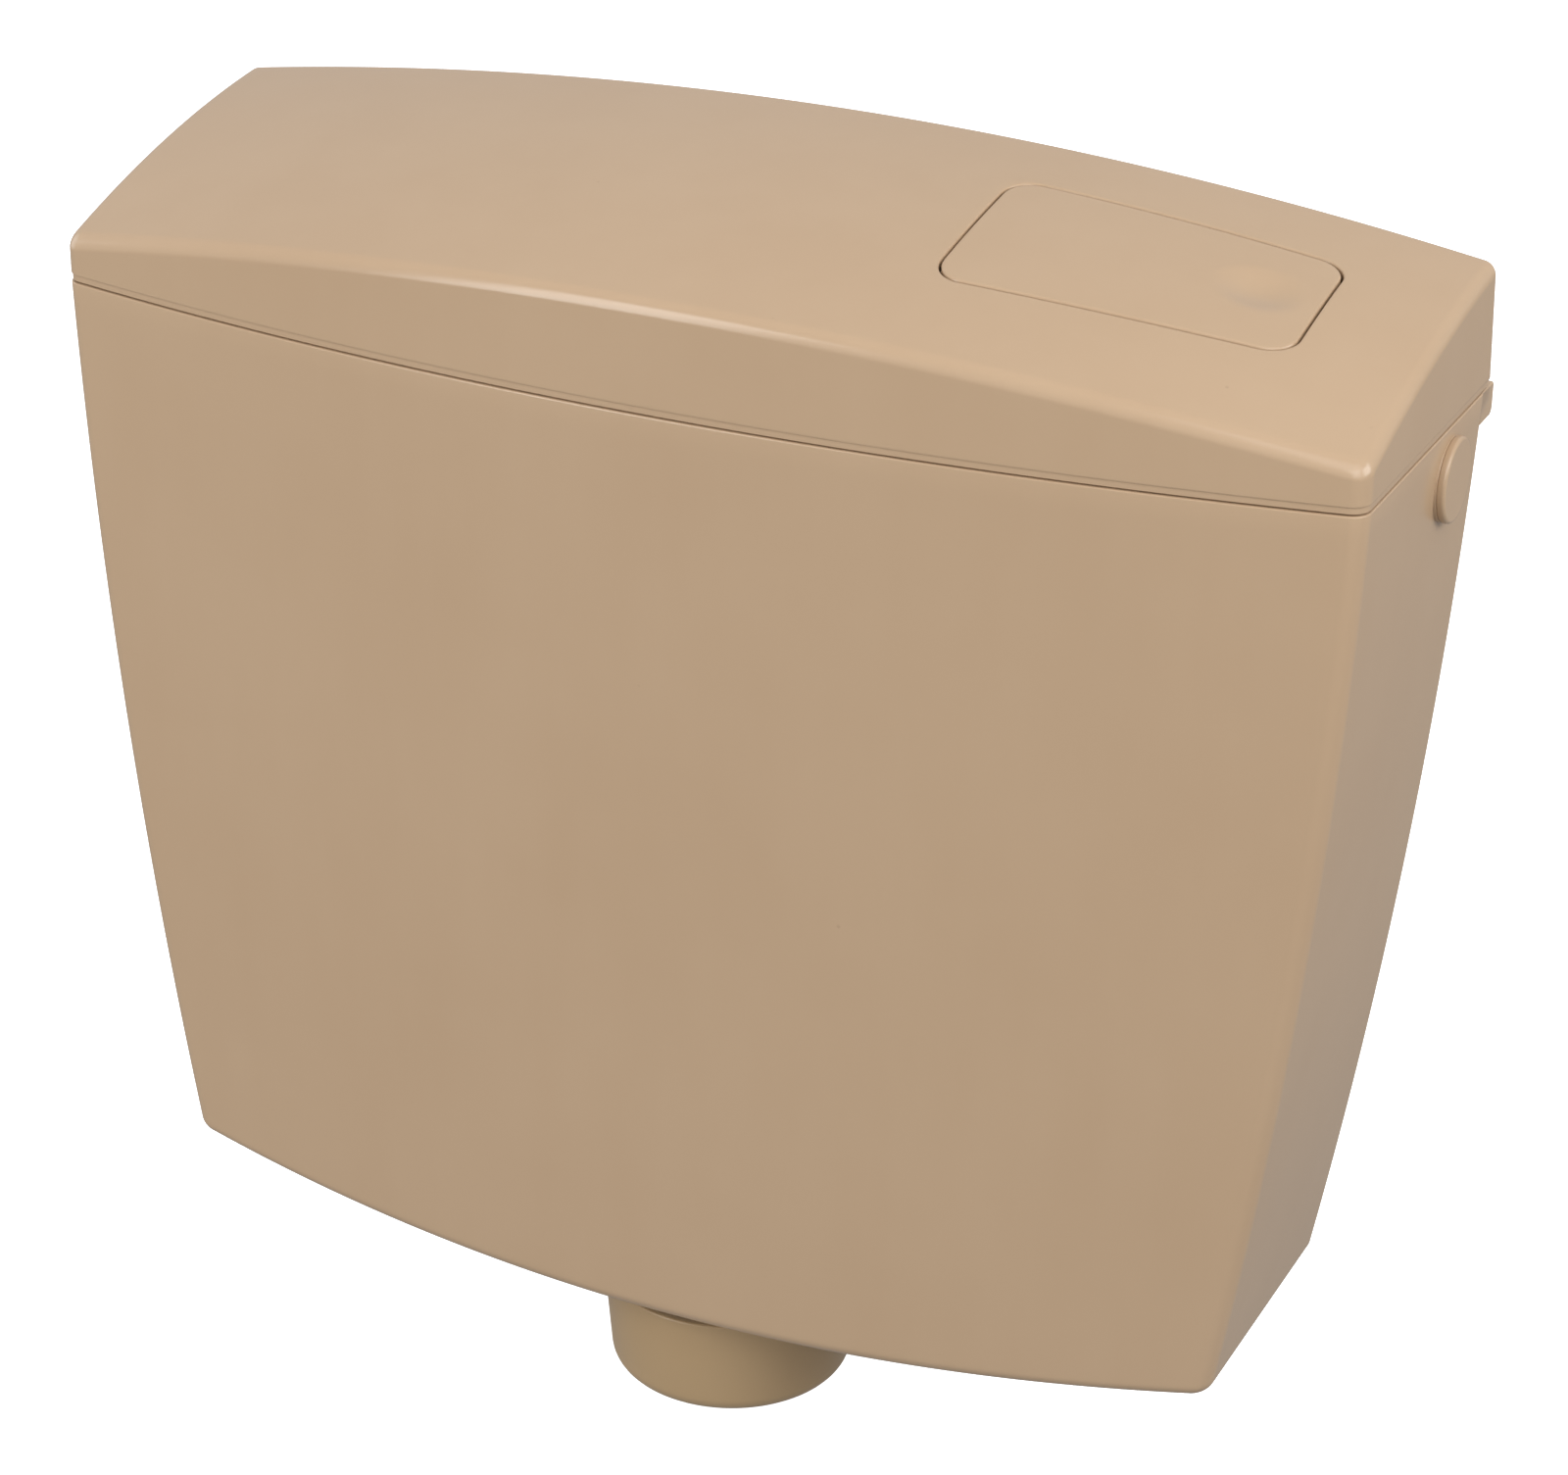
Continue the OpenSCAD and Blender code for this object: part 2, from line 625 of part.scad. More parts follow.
// Round bar along Z on the outlet's axis from z0 to z1
module bar_z(d, z0, z1) translate([0, out_y, z0]) cylinder(d = d, h = z1 - z0);
// Six-sided nut along X on the inlets' axis
module inlet_hex(x0, x1, bore) difference() {
    translate([x0, in_y, in_z]) rotate([0, 90, 0]) cylinder(d = inlet_nut_d, h = x1 - x0, $fn = 6);
    bar_x(bore, x0 - past, x1 + past);
}

// Moulded tank with its rim band, bridge ledges, fixing holes and the pads round its inlets and outlet
module tank() {
    outer = tub_rings(0, foot_r, 1 - rim_r / tank_h);
    shoulder = [for (i = [1 : 2]) let (a = 45 * i)
        tank_ring(1 - rim_r * (1 - sin(a)) / tank_h, rim_r * (1 - cos(a)))];
    inner = reversed(tub_rings(tank_t, max(foot_r - tank_t, least_r), 1));
    ledge_share = share_at(bridge_z);
    ledge_front = bow_y(lever_x, ledge_share) + tank_t / 2;
    ledge_back = back_y(ledge_share) - tank_t / 2;
    ledge_w = bridge_w + 2 * bridge_play;
    fix_y = back_y(share_at(0));
    band_in = back - tank_t + least_r / 2;
    band_top = rim - rim_r / 3;
    color(beige) difference() {
        union() {
            loft(concat(outer, shoulder, inner));
            translate([-lid_hw + rim_r / 2, 0, 0]) rotate([90, 0, 90]) linear_extrude(tank_w - rim_r)
                polygon([[band_in, band_top], [0, band_top], [0, rim - band_h + band_cut],
                    [-band_cut, rim - band_h], [band_in, rim - band_h]]);
            for (s = [-1, 1]) bar_x(inlet_pad_d, s * pad_in_x, s * pad_out_x);
            bar_z(pad_d, pad_foot, pad_top);
            translate([lever_x - ledge_w / 2, ledge_front, bridge_z - ledge_h])
                cube([ledge_w, ledge_d, ledge_h]);
            translate([lever_x - ledge_w / 2, ledge_back - ledge_d, bridge_z - ledge_h])
                cube([ledge_w, ledge_d, ledge_h]);
        }
        bar_z(shank_d + 4 * thread_gap, pad_foot - past, pad_top + past);
        for (s = [-1, 1]) {
            bar_x(inlet_hole_d, s * (pad_in_x - past), s * (pad_out_x + past));
            bar_y(fix_d, s * fix_span / 2, 0, fix_y - tank_t - past, fix_y + past);
        }
    }
}

// Foam tub inside the wetted part of the tank, holed round the outlet
module insulation_liner() {
    e_out = tank_t + liner_gap;
    e_in = e_out + liner_t;
    t_top = share_at(rim - liner_drop);
    color(foam) difference() {
        loft(concat(tub_rings(e_out, max(foot_r - e_out, least_r), t_top),
            reversed(tub_rings(e_in, foot_r, t_top))));
        bar_z(pad_d + 4 * liner_gap, foot, foot + foot_rise + 2 * e_in);
    }
}

// Sleeves on the fixing screws that keep the tank off the wall
module wall_spacers() {
    y0 = back_y(share_at(spacer_d / 2)) + lay_gap;
    color(grey_plastic) for (s = [-1, 1]) difference() {
        bar_y(spacer_d, s * fix_span / 2, 0, y0, 0);
        bar_y(fix_d, s * fix_span / 2, 0, y0 - past, past);
    }
}

// Rubber buffers stuck on low down on the back
module wall_buffers() {
    y0 = back_y(share_at(foot + buffer_up + buffer_d / 2)) + lay_gap;
    color(rubber) for (s = [-1, 1]) bar_y(buffer_d, s * buffer_span / 2, foot + buffer_up, y0, 0);
}

// Threaded outlet through the floor, with the valve seat on top and the flush pipe's bore below
module outlet_spigot() {
    stop_z = shank_end + pipe_bore_l;
    seat_out = seat_d / 2 + seat_edge;
    color(white_plastic) translate([0, out_y, 0]) rotate_extrude()
        polygon([[pipe_bore_d / 2, shank_end], [shank_d / 2, shank_end], [shank_d / 2, flange_z],
            [flange_d / 2, flange_z], [flange_d / 2, cage_z], [seat_out, cage_z], [seat_out, seat_z],
            [seat_d / 2, seat_z], [shank_d / 2 - throat_wall, pad_top], [stop_d / 2, stop_z],
            [pipe_bore_d / 2, stop_z]]);
}

module outlet_gasket() color(rubber) difference() {
    bar_z(flange_d - 2 * seat_edge, pad_top, flange_z);
    bar_z(shank_d + 4 * thread_gap, pad_top - past, flange_z + past);
}

module outlet_lock_nut() color(white_plastic) difference() {
    translate([0, out_y, pad_foot - lock_t]) cylinder(d = lock_d, h = lock_t, $fn = 6);
    bar_z(shank_d + 2 * thread_gap, pad_foot - lock_t - past, pad_foot + past);
}

// Rubber ring squeezed between the shank's end and the union nut, chamfered below
module flush_pipe_seal() {
    inner = pipe_bore_d / 2;
    outer = shank_d / 2;
    chamfer = (outer - inner) / 3;
    color(rubber) translate([0, out_y, 0]) rotate_extrude()
        polygon([[inner, union_in], [outer - chamfer, union_in], [outer, union_in + chamfer],
            [outer, shank_end], [inner, shank_end]]);
}

// Smooth cup-shaped nut: an outer bell, a floor with the pipe's hole and a threaded collar inside
module union_nut() {
    collar_in = shank_d / 2 + thread_gap;
    collar_out = collar_in + union_t;
    edge_x = union_foot_d / 2 - union_r;
    edge_z = union_foot + union_r;
    edge = [for (i = [0 : edge_n]) let (a = -90 * i / edge_n)
        [edge_x + union_r * cos(a), edge_z + union_r * sin(a)]];
    color(beige) translate([0, out_y, 0]) rotate_extrude()
        polygon(concat(
            [[union_top_d / 2 - union_t, union_top], [union_top_d / 2, union_top]], edge,
            [[union_hole_d / 2, union_foot], [union_hole_d / 2, union_in], [collar_in, union_in],
                [collar_in, union_top - union_t], [collar_out, union_top - union_t], [collar_out, union_in + past],
                [union_foot_d / 2 - union_t, union_in + union_r]]
        ));
}

// Open cage on the flange that guides the overflow tube
module valve_cage() color(grey_plastic) difference() {
    post_in = cage_d / 2 - cage_t;
    union() {
        bar_z(cage_d, cage_z, cage_z + cage_t);
        bar_z(cage_d, cage_z + cage_h - cage_t, cage_z + cage_h);
        for (a = [45 : 90 : 315]) translate([0, out_y, cage_z]) rotate(a)
            translate([post_in, -cage_post_w / 2]) cube([cage_t * 0.9, cage_post_w, cage_h]);
    }
    bar_z(2 * post_in, cage_z - past, cage_z + cage_t + past);
    bar_z(tube_d + 2 * guide_gap, cage_z + cage_t, cage_z + cage_h + past);
}

// Cross beam on the tank's ledges, with two lugs for the lever's pin
module lever_bridge() {
    share = share_at(bridge_top);
    y0 = bow_y(lever_x + bridge_w / 2, share_at(bridge_z)) + tank_t + bridge_play;
    y1 = back_y(share_at(bridge_z)) - tank_t - bridge_play;
    lug_in = lever_w / 2 + lever_play;
    lug_top = lever_z + lever_hub_d / 2;
    color(grey_plastic) difference() {
        union() {
            translate([lever_x - bridge_w / 2, y0, bridge_z]) cube([bridge_w, y1 - y0, bridge_h]);
            for (s = [-1, 1]) translate([lever_x - lever_hub_d / 2, out_y + s * (lug_in + lug_t / 2) - lug_t / 2,
                    bridge_z]) cube([lever_hub_d, lug_t, lug_top - bridge_z]);
        }
        bar_y(lever_pin_d + run_gap, lever_x, lever_z, out_y - lug_in - lug_t - past,
            out_y + lug_in + lug_t + past);
    }
}

module lever_pin() {
    reach = lever_w / 2 + lever_play + lug_t;
    color(steel) bar_y(lever_pin_d, lever_x, lever_z, out_y - reach, out_y + reach);
}

// Rocking lever from under the yoke's bar to under the plate's presser leg
module lift_lever() {
    x0 = -lever_tip;
    x1 = presser_x + lever_tip;
    thin = lever_h / 3;
    color(grey_plastic) difference() {
        translate([0, out_y + lever_w / 2, 0]) rotate([90, 0, 0]) linear_extrude(lever_w) {
            polygon([[x0, lever_top], [x0, lever_top - thin], [lever_x, lever_top - lever_h],
                [x1, lever_top - thin], [x1, lever_top]]);
            translate([lever_x, lever_z]) circle(d = lever_hub_d);
        }
        bar_y(lever_pin_d + 2 * run_gap, lever_x, lever_z, out_y - lever_w, out_y + lever_w);
    }
}

// Tube that lifts off the seat to flush and lets water over its upper edge when the tank is too full
module overflow_tube() color(white_plastic) difference() {
    union() {
        bar_z(tube_d, tube_z, tube_top);
        bar_z(tube_foot_d, tube_z, tube_z + tube_foot_t);
        bar_z(tube_d + 2 * yoke_t, collar_z - stop_t, collar_z);
    }
    bar_z(tube_d - 2 * tube_t, tube_z - past, tube_top + past);
}

module valve_seal() color(rubber) difference() {
    bar_z(seal_d, seat_z, tube_z);
    bar_z(tube_d - 2 * tube_t, seat_z - past, tube_z + past);
}

// Hollow plug that clamps the seal to the tube's foot
module seal_retainer() color(white_plastic) difference() {
    neck_d = tube_d - 2 * tube_t - 2 * thread_gap;
    union() {
        bar_z(retainer_d, seat_z - retainer_t, seat_z);
        bar_z(neck_d, seat_z - past, tube_z + retainer_neck);
    }
    bar_z(neck_d - 2 * tube_t, seat_z - retainer_t - past, tube_z + retainer_neck + past);
}

module closing_float() color(foam) difference() {
    bar_z(collar_d, collar_z, collar_z + collar_h);
    bar_z(tube_d + 2 * thread_gap, collar_z - past, collar_z + collar_h + past);
}

// Stirrup on the tube's upper end whose bar the lever lifts
module lift_yoke() {
    ring_d = tube_d + 2 * thread_gap;
    strap_y = ring_d / 2;
    strap_z = tube_top - yoke_ring_h / 2;
    color(grey_plastic) {
        difference() {
            union() {
                bar_z(ring_d + 2 * yoke_t, tube_top - yoke_ring_h, tube_top);
                for (s = [0, 1]) mirror([0, s, 0]) translate([-yoke_w / 2, 0, 0])
                    translate([0, (s == 0 ? out_y : -out_y) + strap_y, strap_z])
                        cube([yoke_w, yoke_t, yoke_bar_z + yoke_bar_d / 2 - strap_z]);
            }
            bar_z(ring_d, tube_top - yoke_ring_h - past, tube_top + past);
        }
        bar_y(yoke_bar_d, 0, yoke_bar_z, out_y - strap_y - yoke_t / 2, out_y + strap_y + yoke_t / 2);
    }
}

// Filling valve: threaded shank through the left end, flange, barrel and the float arm's lugs
module fill_valve_body() {
    thread_end = -(pad_out_x + inlet_nut_t + groove_w + thread_l);
    groove_x = thread_end + thread_l;
    lug_in = arm_w / 2 + arm_play;
    lug_top = plunger_d / 2 + past;
    lug_foot = pivot_drop + pivot_hub_d / 2;
    color(white_plastic) difference() {
        union() {
            bar_x(thread_d, thread_end, valve_x + past);
            bar_x(valve_flange_d, valve_x, valve_x + valve_flange_t);
            bar_x(barrel_d, valve_x, barrel_end);
            for (s = [-1, 1]) translate([barrel_end - barrel_d / 2, in_y + s * (lug_in + arm_lug_t / 2) - arm_lug_t / 2,
                    in_z - lug_foot])
                cube([barrel_d / 2 + pivot_out + pivot_hub_d / 2, arm_lug_t, lug_foot - lug_top]);
            translate([drop_x, in_y, in_z - barrel_d / 2 - drop_spigot_l])
                cylinder(d = drop_spigot_d, h = drop_spigot_l + barrel_d / 4);
        }
        difference() {
            bar_x(thread_d + 2 * past, groove_x, groove_x + groove_w);
            bar_x(thread_d - 2 * groove_deep, groove_x - past, groove_x + groove_w + past);
        }
        bar_x(strainer_d, thread_end - past, thread_end + strainer_l);
        bar_x(way_d, thread_end, nozzle_x);
        bar_x(nozzle_d + 2 * run_gap, nozzle_x - nozzle_l, nozzle_x + past);
        bar_x(plunger_d + 2 * run_gap, nozzle_x, barrel_end + past);
        translate([drop_x, in_y, in_z - barrel_d / 2 - drop_spigot_l - past])
            cylinder(d = drop_bore_d, h = drop_spigot_l + barrel_d / 2 + past);
        bar_y(pivot_d + run_gap, pivot_x, pivot_z, in_y - lug_in - arm_lug_t - past, in_y + lug_in + arm_lug_t + past);
    }
}

module inlet_washer() color(rubber) difference() {
    bar_x(inlet_pad_d, -pad_in_x, valve_x);
    bar_x(thread_d + 2 * thread_gap, -pad_in_x - past, valve_x + past);
}

module inlet_lock_nut() color(white_plastic)
    inlet_hex(-pad_out_x - inlet_nut_t, -pad_out_x, thread_d + 2 * thread_gap);

// Slotted thimble in the end of the shank that keeps grit out of the valve
module inlet_strainer() {
    x0 = -(pad_out_x + inlet_nut_t + groove_w + thread_l);
    x1 = x0 + strainer_l;
    outer = strainer_d - 2 * run_gap;
    color(grey_plastic) difference() {
        bar_x(outer, x0, x1);
        bar_x(outer - 2 * strainer_t, x0 - past, x1 - strainer_t);
        for (i = [1 : 3]) translate([x0 + strainer_l * i / 4, in_y, in_z])
            cube([strainer_t, strainer_d / 2, strainer_d + past], center = true);
    }
}

module fill_nozzle() color(brass) difference() {
    bar_x(nozzle_d, nozzle_x - nozzle_l, nozzle_x);
    bar_x(nozzle_bore_d, nozzle_x - nozzle_l - past, nozzle_x + past);
}

module float_arm_pin() {
    reach = arm_w / 2 + arm_play + arm_lug_t;
    color(steel) bar_y(pivot_d, pivot_x, pivot_z, in_y - reach, in_y + reach);
}

// Tube that leads the incoming water down without splashing
module fill_downpipe() {
    inner = drop_spigot_d + 2 * thread_gap;
    top = in_z - barrel_d / 2 - least_r;
    color(grey_plastic) translate([drop_x, in_y, 0]) difference() {
        translate([0, 0, foot + drop_up]) cylinder(d = inner + 2 * drop_t, h = top - foot - drop_up);
        translate([0, 0, foot + drop_up - past]) cylinder(d = inner, h = top - foot - drop_up + 2 * past);
    }
}

module plunger() color(white_plastic)
    bar_x(plunger_d, chamber_x + plunger_seal_t, plunger_end);

module plunger_seal() color(rubber)
    bar_x(plunger_d - 2 * least_r, chamber_x, chamber_x + plunger_seal_t);

// Arm from the float to the horn that pushes the plunger shut
module float_arm() {
    tail = rod_x + rod_nut_d / 2;
    color(grey_plastic) difference() {
        union() {
            bar_y(pivot_hub_d, pivot_x, pivot_z, in_y - arm_w / 2, in_y + arm_w / 2);
            translate([pivot_x, in_y - arm_w / 2, pivot_z - arm_h / 2]) cube([tail - pivot_x, arm_w, arm_h]);
            translate([pivot_x - horn_d / 2, in_y - arm_w / 2, pivot_z]) cube([horn_d, arm_w, pivot_drop]);
            bar_y(horn_d, pivot_x, in_z, in_y - arm_w / 2, in_y + arm_w / 2);
            translate([rod_x, in_y, pivot_z - arm_h / 2]) cylinder(d = rod_nut_d, h = arm_h);
        }
        bar_y(pivot_d + 2 * run_gap, pivot_x, pivot_z, in_y - arm_w, in_y + arm_w);
        translate([rod_x, in_y, pivot_z - arm_h]) cylinder(d = rod_d + 2 * thread_gap, h = 2 * arm_h);
    }
}

module float_rod() color(steel) translate([rod_x, in_y, float_top - rod_in])
    cylinder(d = rod_d, h = rod_in + float_gap + arm_h + rod_up);

module rod_nut() color(white_plastic) translate([rod_x, in_y, pivot_z + arm_h / 2]) difference() {
    cylinder(d = rod_nut_d, h = rod_nut_t);
    translate([0, 0, -past]) cylinder(d = rod_d + 2 * thread_gap, h = rod_nut_t + 2 * past);
}

module float() color(foam) difference() {
    translate([rod_x, in_y - float_fore, float_top - float_h]) linear_extrude(float_h)
        rounded(float_l, float_w, float_r);
    translate([rod_x, in_y, float_top - rod_in]) cylinder(d = rod_d + 2 * thread_gap, h = rod_in + past);
}

// Plug for the spare inlet on the right end: a round-edged head outside and a hollow threaded shank
module blanking_cap() {
    shank_in = pad_out_x - pad_in_x + washer_t + inlet_nut_t;
    edge = cap_d / 2 - cap_r;
    color(beige) translate([pad_out_x, in_y, in_z]) rotate([0, 90, 0]) rotate_extrude() difference() {
        union() {
            translate([0, 0]) square([cap_d / 2, cap_t - cap_r]);
            translate([0, 0]) square([edge, cap_t]);
            translate([edge, cap_t - cap_r]) circle(cap_r);
            translate([0, -shank_in]) square([cap_shank_d / 2, shank_in + least_r]);
        }
        translate([-past, -shank_in - past]) square([cap_bore_d / 2 + past, shank_in + past]);
        translate([-cap_d, -shank_in - past]) square([cap_d, shank_in + cap_t + 2 * past]);
    }
}

module blanking_washer() color(rubber) difference() {
    bar_x(inlet_pad_d, pad_in_x - washer_t, pad_in_x);
    bar_x(cap_shank_d + 2 * thread_gap, pad_in_x - washer_t - past, pad_in_x + past);
}

module blanking_nut() color(white_plastic)
    inlet_hex(pad_in_x - washer_t - inlet_nut_t, pad_in_x - washer_t, cap_shank_d + 2 * thread_gap);

// Lug from an upper skin down to the hinge pin and round it, between y0 and y1
module hinge_ear(y0, y1, skin) {
    w = hinge_d / 2 + hinge_wall;
    slab(hinge_x - w, hinge_x + w, y0, y1, 1, 1, skin, function (x, y) hinge_z);
    bar_y(2 * w, hinge_x, hinge_z, y0, y1);
}

// Arched lid with a stepped lower border, a locating skirt and the opening for the flush plate
module lid() {
    border_z = rim + border_h;
    inner_r = max(lid_edge_r - lid_t, least_r);
    skirt_out = tank_t + skirt_gap;
    skirt_in = skirt_out + skirt_t;
    rings = concat(
        edge_rings(lid_t, inner_r),
        [
            lid_ring(lid_t, lid_over, level(border_h + lid_t)), lid_ring(skirt_in, 0, level(lid_t)),
            lid_ring(skirt_in, 0, level(-skirt_h)), lid_ring(skirt_out, 0, level(-skirt_h)),
            lid_ring(skirt_out, 0, level(0)), lid_ring(border_in, lid_over, level(0)),
            lid_ring(border_in, lid_over, level(border_h)), lid_ring(0, lid_over, level(border_h + least_r / 4))
        ],
        reversed(edge_rings(0, lid_edge_r))
    );
    color(beige) difference() {
        union() {
            loft(rings, lid_rows, under_lid(lid_t), under_lid(0));
            hinge_ear(pin_y0, pin_y0 + hinge_lug, under_lid(lid_t / 2));
            hinge_ear(pin_y1 - hinge_lug, pin_y1, under_lid(lid_t / 2));
        }
        translate([0, 0, rim + lid_front_h / 2]) linear_extrude(2 * lid_back_h + lid_back_arch)
            polygon(plate_ring(-plate_gap));
        bar_y(hinge_d + run_gap, hinge_x, hinge_z, pin_y0 - past, pin_y1 + past);
    }
}

module plate_hinge_pin() color(steel)
    bar_y(hinge_d, hinge_x, hinge_z, pin_y0, pin_y1);

// Rocking plate flush with the lid: skin with the thumb hollow, rim, hinge lugs and presser leg
module flush_plate() {
    x0 = plate_left - past;
    x1 = plate_left + plate_l + past;
    y0 = plate_front(plate_left) - past;
    y1 = plate_back + past;
    low = rim - lever_h;
    high = 2 * lid_back_h + lid_back_arch;
    lug_in = plate_rim_t + hinge_lug;
    color(beige) difference() {
        union() {
            difference() {
                intersection() {
                    translate([0, 0, low]) linear_extrude(high) polygon(plate_ring(0));
                    slab(x0, x1, y0, y1, plate_nx, plate_ny, under_plate(0), under_plate(plate_rim_h));
                }
                intersection() {
                    translate([0, 0, low]) linear_extrude(high) polygon(plate_ring(plate_rim_t));
                    slab(x0, x1, y0, y1, plate_nx, plate_ny, under_plate(plate_t),
                        under_plate(plate_rim_h + past));
                }
            }
            for (y = [plate_front(hinge_x) + lug_in, plate_back - lug_in])
                hinge_ear(y - hinge_lug / 2, y + hinge_lug / 2, under_plate(plate_t / 2));
            intersection() {
                slab(presser_x - presser_d, presser_x + presser_d, out_y - presser_d, out_y + presser_d, 2, 2,
                    under_plate(plate_t / 2), function (x, y) low);
                translate([presser_x, out_y, presser_z + presser_d / 2]) {
                    cylinder(d = presser_d, h = high);
                    sphere(d = presser_d);
                }
            }
        }
        bar_y(hinge_d + 2 * run_gap, hinge_x, hinge_z, y0, y1);
    }
}

tank();
insulation_liner();
wall_spacers();
wall_buffers();
outlet_spigot();
outlet_gasket();
outlet_lock_nut();
flush_pipe_seal();
union_nut();
valve_cage();
lever_bridge();
lever_pin();
fill_valve_body();
inlet_washer();
inlet_lock_nut();
inlet_strainer();
fill_nozzle();
float_arm_pin();
fill_downpipe();
blanking_cap();
blanking_washer();
blanking_nut();
lid();
plate_hinge_pin();
flush_plate();
lift_lever();
overflow_tube();
valve_seal();
seal_retainer();
closing_float();
lift_yoke();
plunger();
plunger_seal();
float_arm();
float_rod();
rod_nut();
float();
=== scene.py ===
import math

import bpy
import numpy as np
from mathutils import Matrix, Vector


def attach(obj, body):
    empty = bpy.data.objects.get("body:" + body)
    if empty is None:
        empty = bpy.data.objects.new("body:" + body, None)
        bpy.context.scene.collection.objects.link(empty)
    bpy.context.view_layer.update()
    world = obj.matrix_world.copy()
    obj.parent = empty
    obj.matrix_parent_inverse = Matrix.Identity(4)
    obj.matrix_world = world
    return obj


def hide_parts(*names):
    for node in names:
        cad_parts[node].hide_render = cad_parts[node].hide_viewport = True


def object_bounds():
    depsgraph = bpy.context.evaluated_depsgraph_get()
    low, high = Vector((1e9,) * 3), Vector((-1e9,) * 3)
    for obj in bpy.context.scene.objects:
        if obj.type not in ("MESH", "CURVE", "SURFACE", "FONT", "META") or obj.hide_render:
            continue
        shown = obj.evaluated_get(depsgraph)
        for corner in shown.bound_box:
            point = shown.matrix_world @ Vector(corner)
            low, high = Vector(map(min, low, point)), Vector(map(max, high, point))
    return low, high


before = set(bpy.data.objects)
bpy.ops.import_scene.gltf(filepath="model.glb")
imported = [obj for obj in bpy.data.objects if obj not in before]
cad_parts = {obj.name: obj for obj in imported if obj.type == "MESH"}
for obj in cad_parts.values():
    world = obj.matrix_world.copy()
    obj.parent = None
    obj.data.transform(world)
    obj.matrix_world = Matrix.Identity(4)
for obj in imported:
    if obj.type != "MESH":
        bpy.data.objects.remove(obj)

cad_low, cad_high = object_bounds()

# Tank
# The tub that hangs on the wall: glossy beige plastic, injection moulded in one shot about 3 mm thick,
# with a bowed front, a band behind the rim, round pads at its holes and two ledges for the lever's bridge.
# All lengths in this file are millimetres, in the frame of the solids; meshes are scaled to metres.
MILLIMETRE = 0.001
RIM, FOOT, BACK = 40.0, -285.0, -10.0
TANK_HEIGHT, TANK_WALL = RIM - FOOT, 3.0
FOOT_HALF, HALF_GAIN, END_BULGE = 188.0, 32.0, 5.5
FOOT_DEPTH, DEPTH_GAIN, BACK_LEAN = 100.7, 14.3, 12.0
FOOT_BOW, BOW_GAIN, FLOOR_RISE = 14.3, 8.2, 15.0
FRONT_EDGE_R, BACK_EDGE_R, FOOT_R, RIM_R, RIM_CHAMFER, LEAST_R = 6.5, 4.0, 5.0, 0.5, 0.4, 0.8
OUTLET_Y, OUTLET_HOLE_R, OUTLET_PAD_R = -80.5, 30.1, 46.0
OUTLET_PAD_TOP, OUTLET_PAD_FOOT, PAD_CHAMFER, PAD_MARGIN = -280.6, -285.6, 0.3, 0.2
INLET_Y, INLET_Z, INLET_HOLE_R, INLET_PAD_R = -42.5, 22.5, 10.8, 13.5
INLET_PAD_IN, INLET_PAD_OUT, INLET_PAD_EDGE_R, CUT_PAST = 214.465, 220.065, 0.35, 2.0
FIXING_X, FIXING_R, FIXING_CUT = 120.0, 4.25, (-18.0, -7.0)
BAND_HEIGHT, BAND_DROP, BAND_EDGE_R, BAND_CHAMFER = 11.0, 0.4, 0.8, 2.5
LEVER_X, LEDGE_WIDTH, LEDGE_TOP, LEDGE_FOOT = 100.0, 20.0, 8.0, 0.0
LEDGE_Y, LEDGE_CORNER_R, LEDGE_EDGE_R = ((-139.2, -130.43), (-22.68, -12.9)), 1.0, 0.5


def along(count, near=0.006):
    """Shares of a straight run from 0 to 1 without its ends, even, with one more near to each end,
    so that the shading of the rounded corner beside it stays at the corner."""
    return np.concatenate([[near], np.linspace(0, 1, count + 1)[1:-1], [1 - near]])


LONG, SHORT, ARC = along(96), along(20), np.linspace(0, 1, 11)


def column(*values):
    """The values as arrays of one column each, all with as many rows as the longest."""
    return np.broadcast_arrays(*(np.reshape(np.asarray(v, float), (-1, 1)) for v in values))


def plan_outline(half, back, front, bow, front_r, back_r):
    """Closed plan curve, one row for each set of sizes. The front is the parabola
    y = front - bow * (1 - (x / half)^2), an arc of front_r leads from its slope at each corner into a
    straight end, and an arc of back_r from there into the straight back. Returns x and y."""
    half, back, front, bow, front_r, back_r = column(half, back, front, bow, front_r, back_r)
    lean = np.arctan(2 * bow / half)
    reach = half - front_r * (1 - np.sin(lean))
    arc_y = front + front_r * (np.cos(lean) - (1 - np.sin(lean)) * np.tan(lean))
    turn_front = (lean - math.pi / 2) * (1 - ARC)
    turn_back = math.pi / 2 * ARC
    bow_x = reach * (2 * LONG - 1)
    bow_y = front - bow * (1 - (bow_x / half) ** 2)
    front_x = half - front_r + front_r * np.cos(turn_front)
    front_y = arc_y + front_r * np.sin(turn_front)
    end_y = arc_y + (back - back_r - arc_y) * SHORT
    end_x = half + 0 * end_y
    back_x = half - back_r + back_r * np.cos(turn_back)
    back_y = back - back_r + back_r * np.sin(turn_back)
    line_x = (half - back_r) * (1 - 2 * LONG)
    x = np.hstack([bow_x, front_x, end_x, back_x, line_x,
                   -back_x[:, ::-1], -end_x[:, ::-1], -front_x[:, ::-1]])
    y = np.hstack([bow_y, front_y, end_y, back_y, back + 0 * line_x,
                   back_y[:, ::-1], end_y[:, ::-1], front_y[:, ::-1]])
    return x, y


def corner_radii(inset):
    """Radii of the front and the back corners in plan, less the inset and at least 0.8."""
    return np.maximum(FRONT_EDGE_R - inset, LEAST_R), np.maximum(BACK_EDGE_R - inset, LEAST_R)


def tank_half(t):
    """Half width at the share t of the height: 188 at the floor, 32 more at the rim, and a bulge of
    4 * 5.5 * t * (1 - t)."""
    return FOOT_HALF + HALF_GAIN * t + 4 * END_BULGE * t * (1 - t)


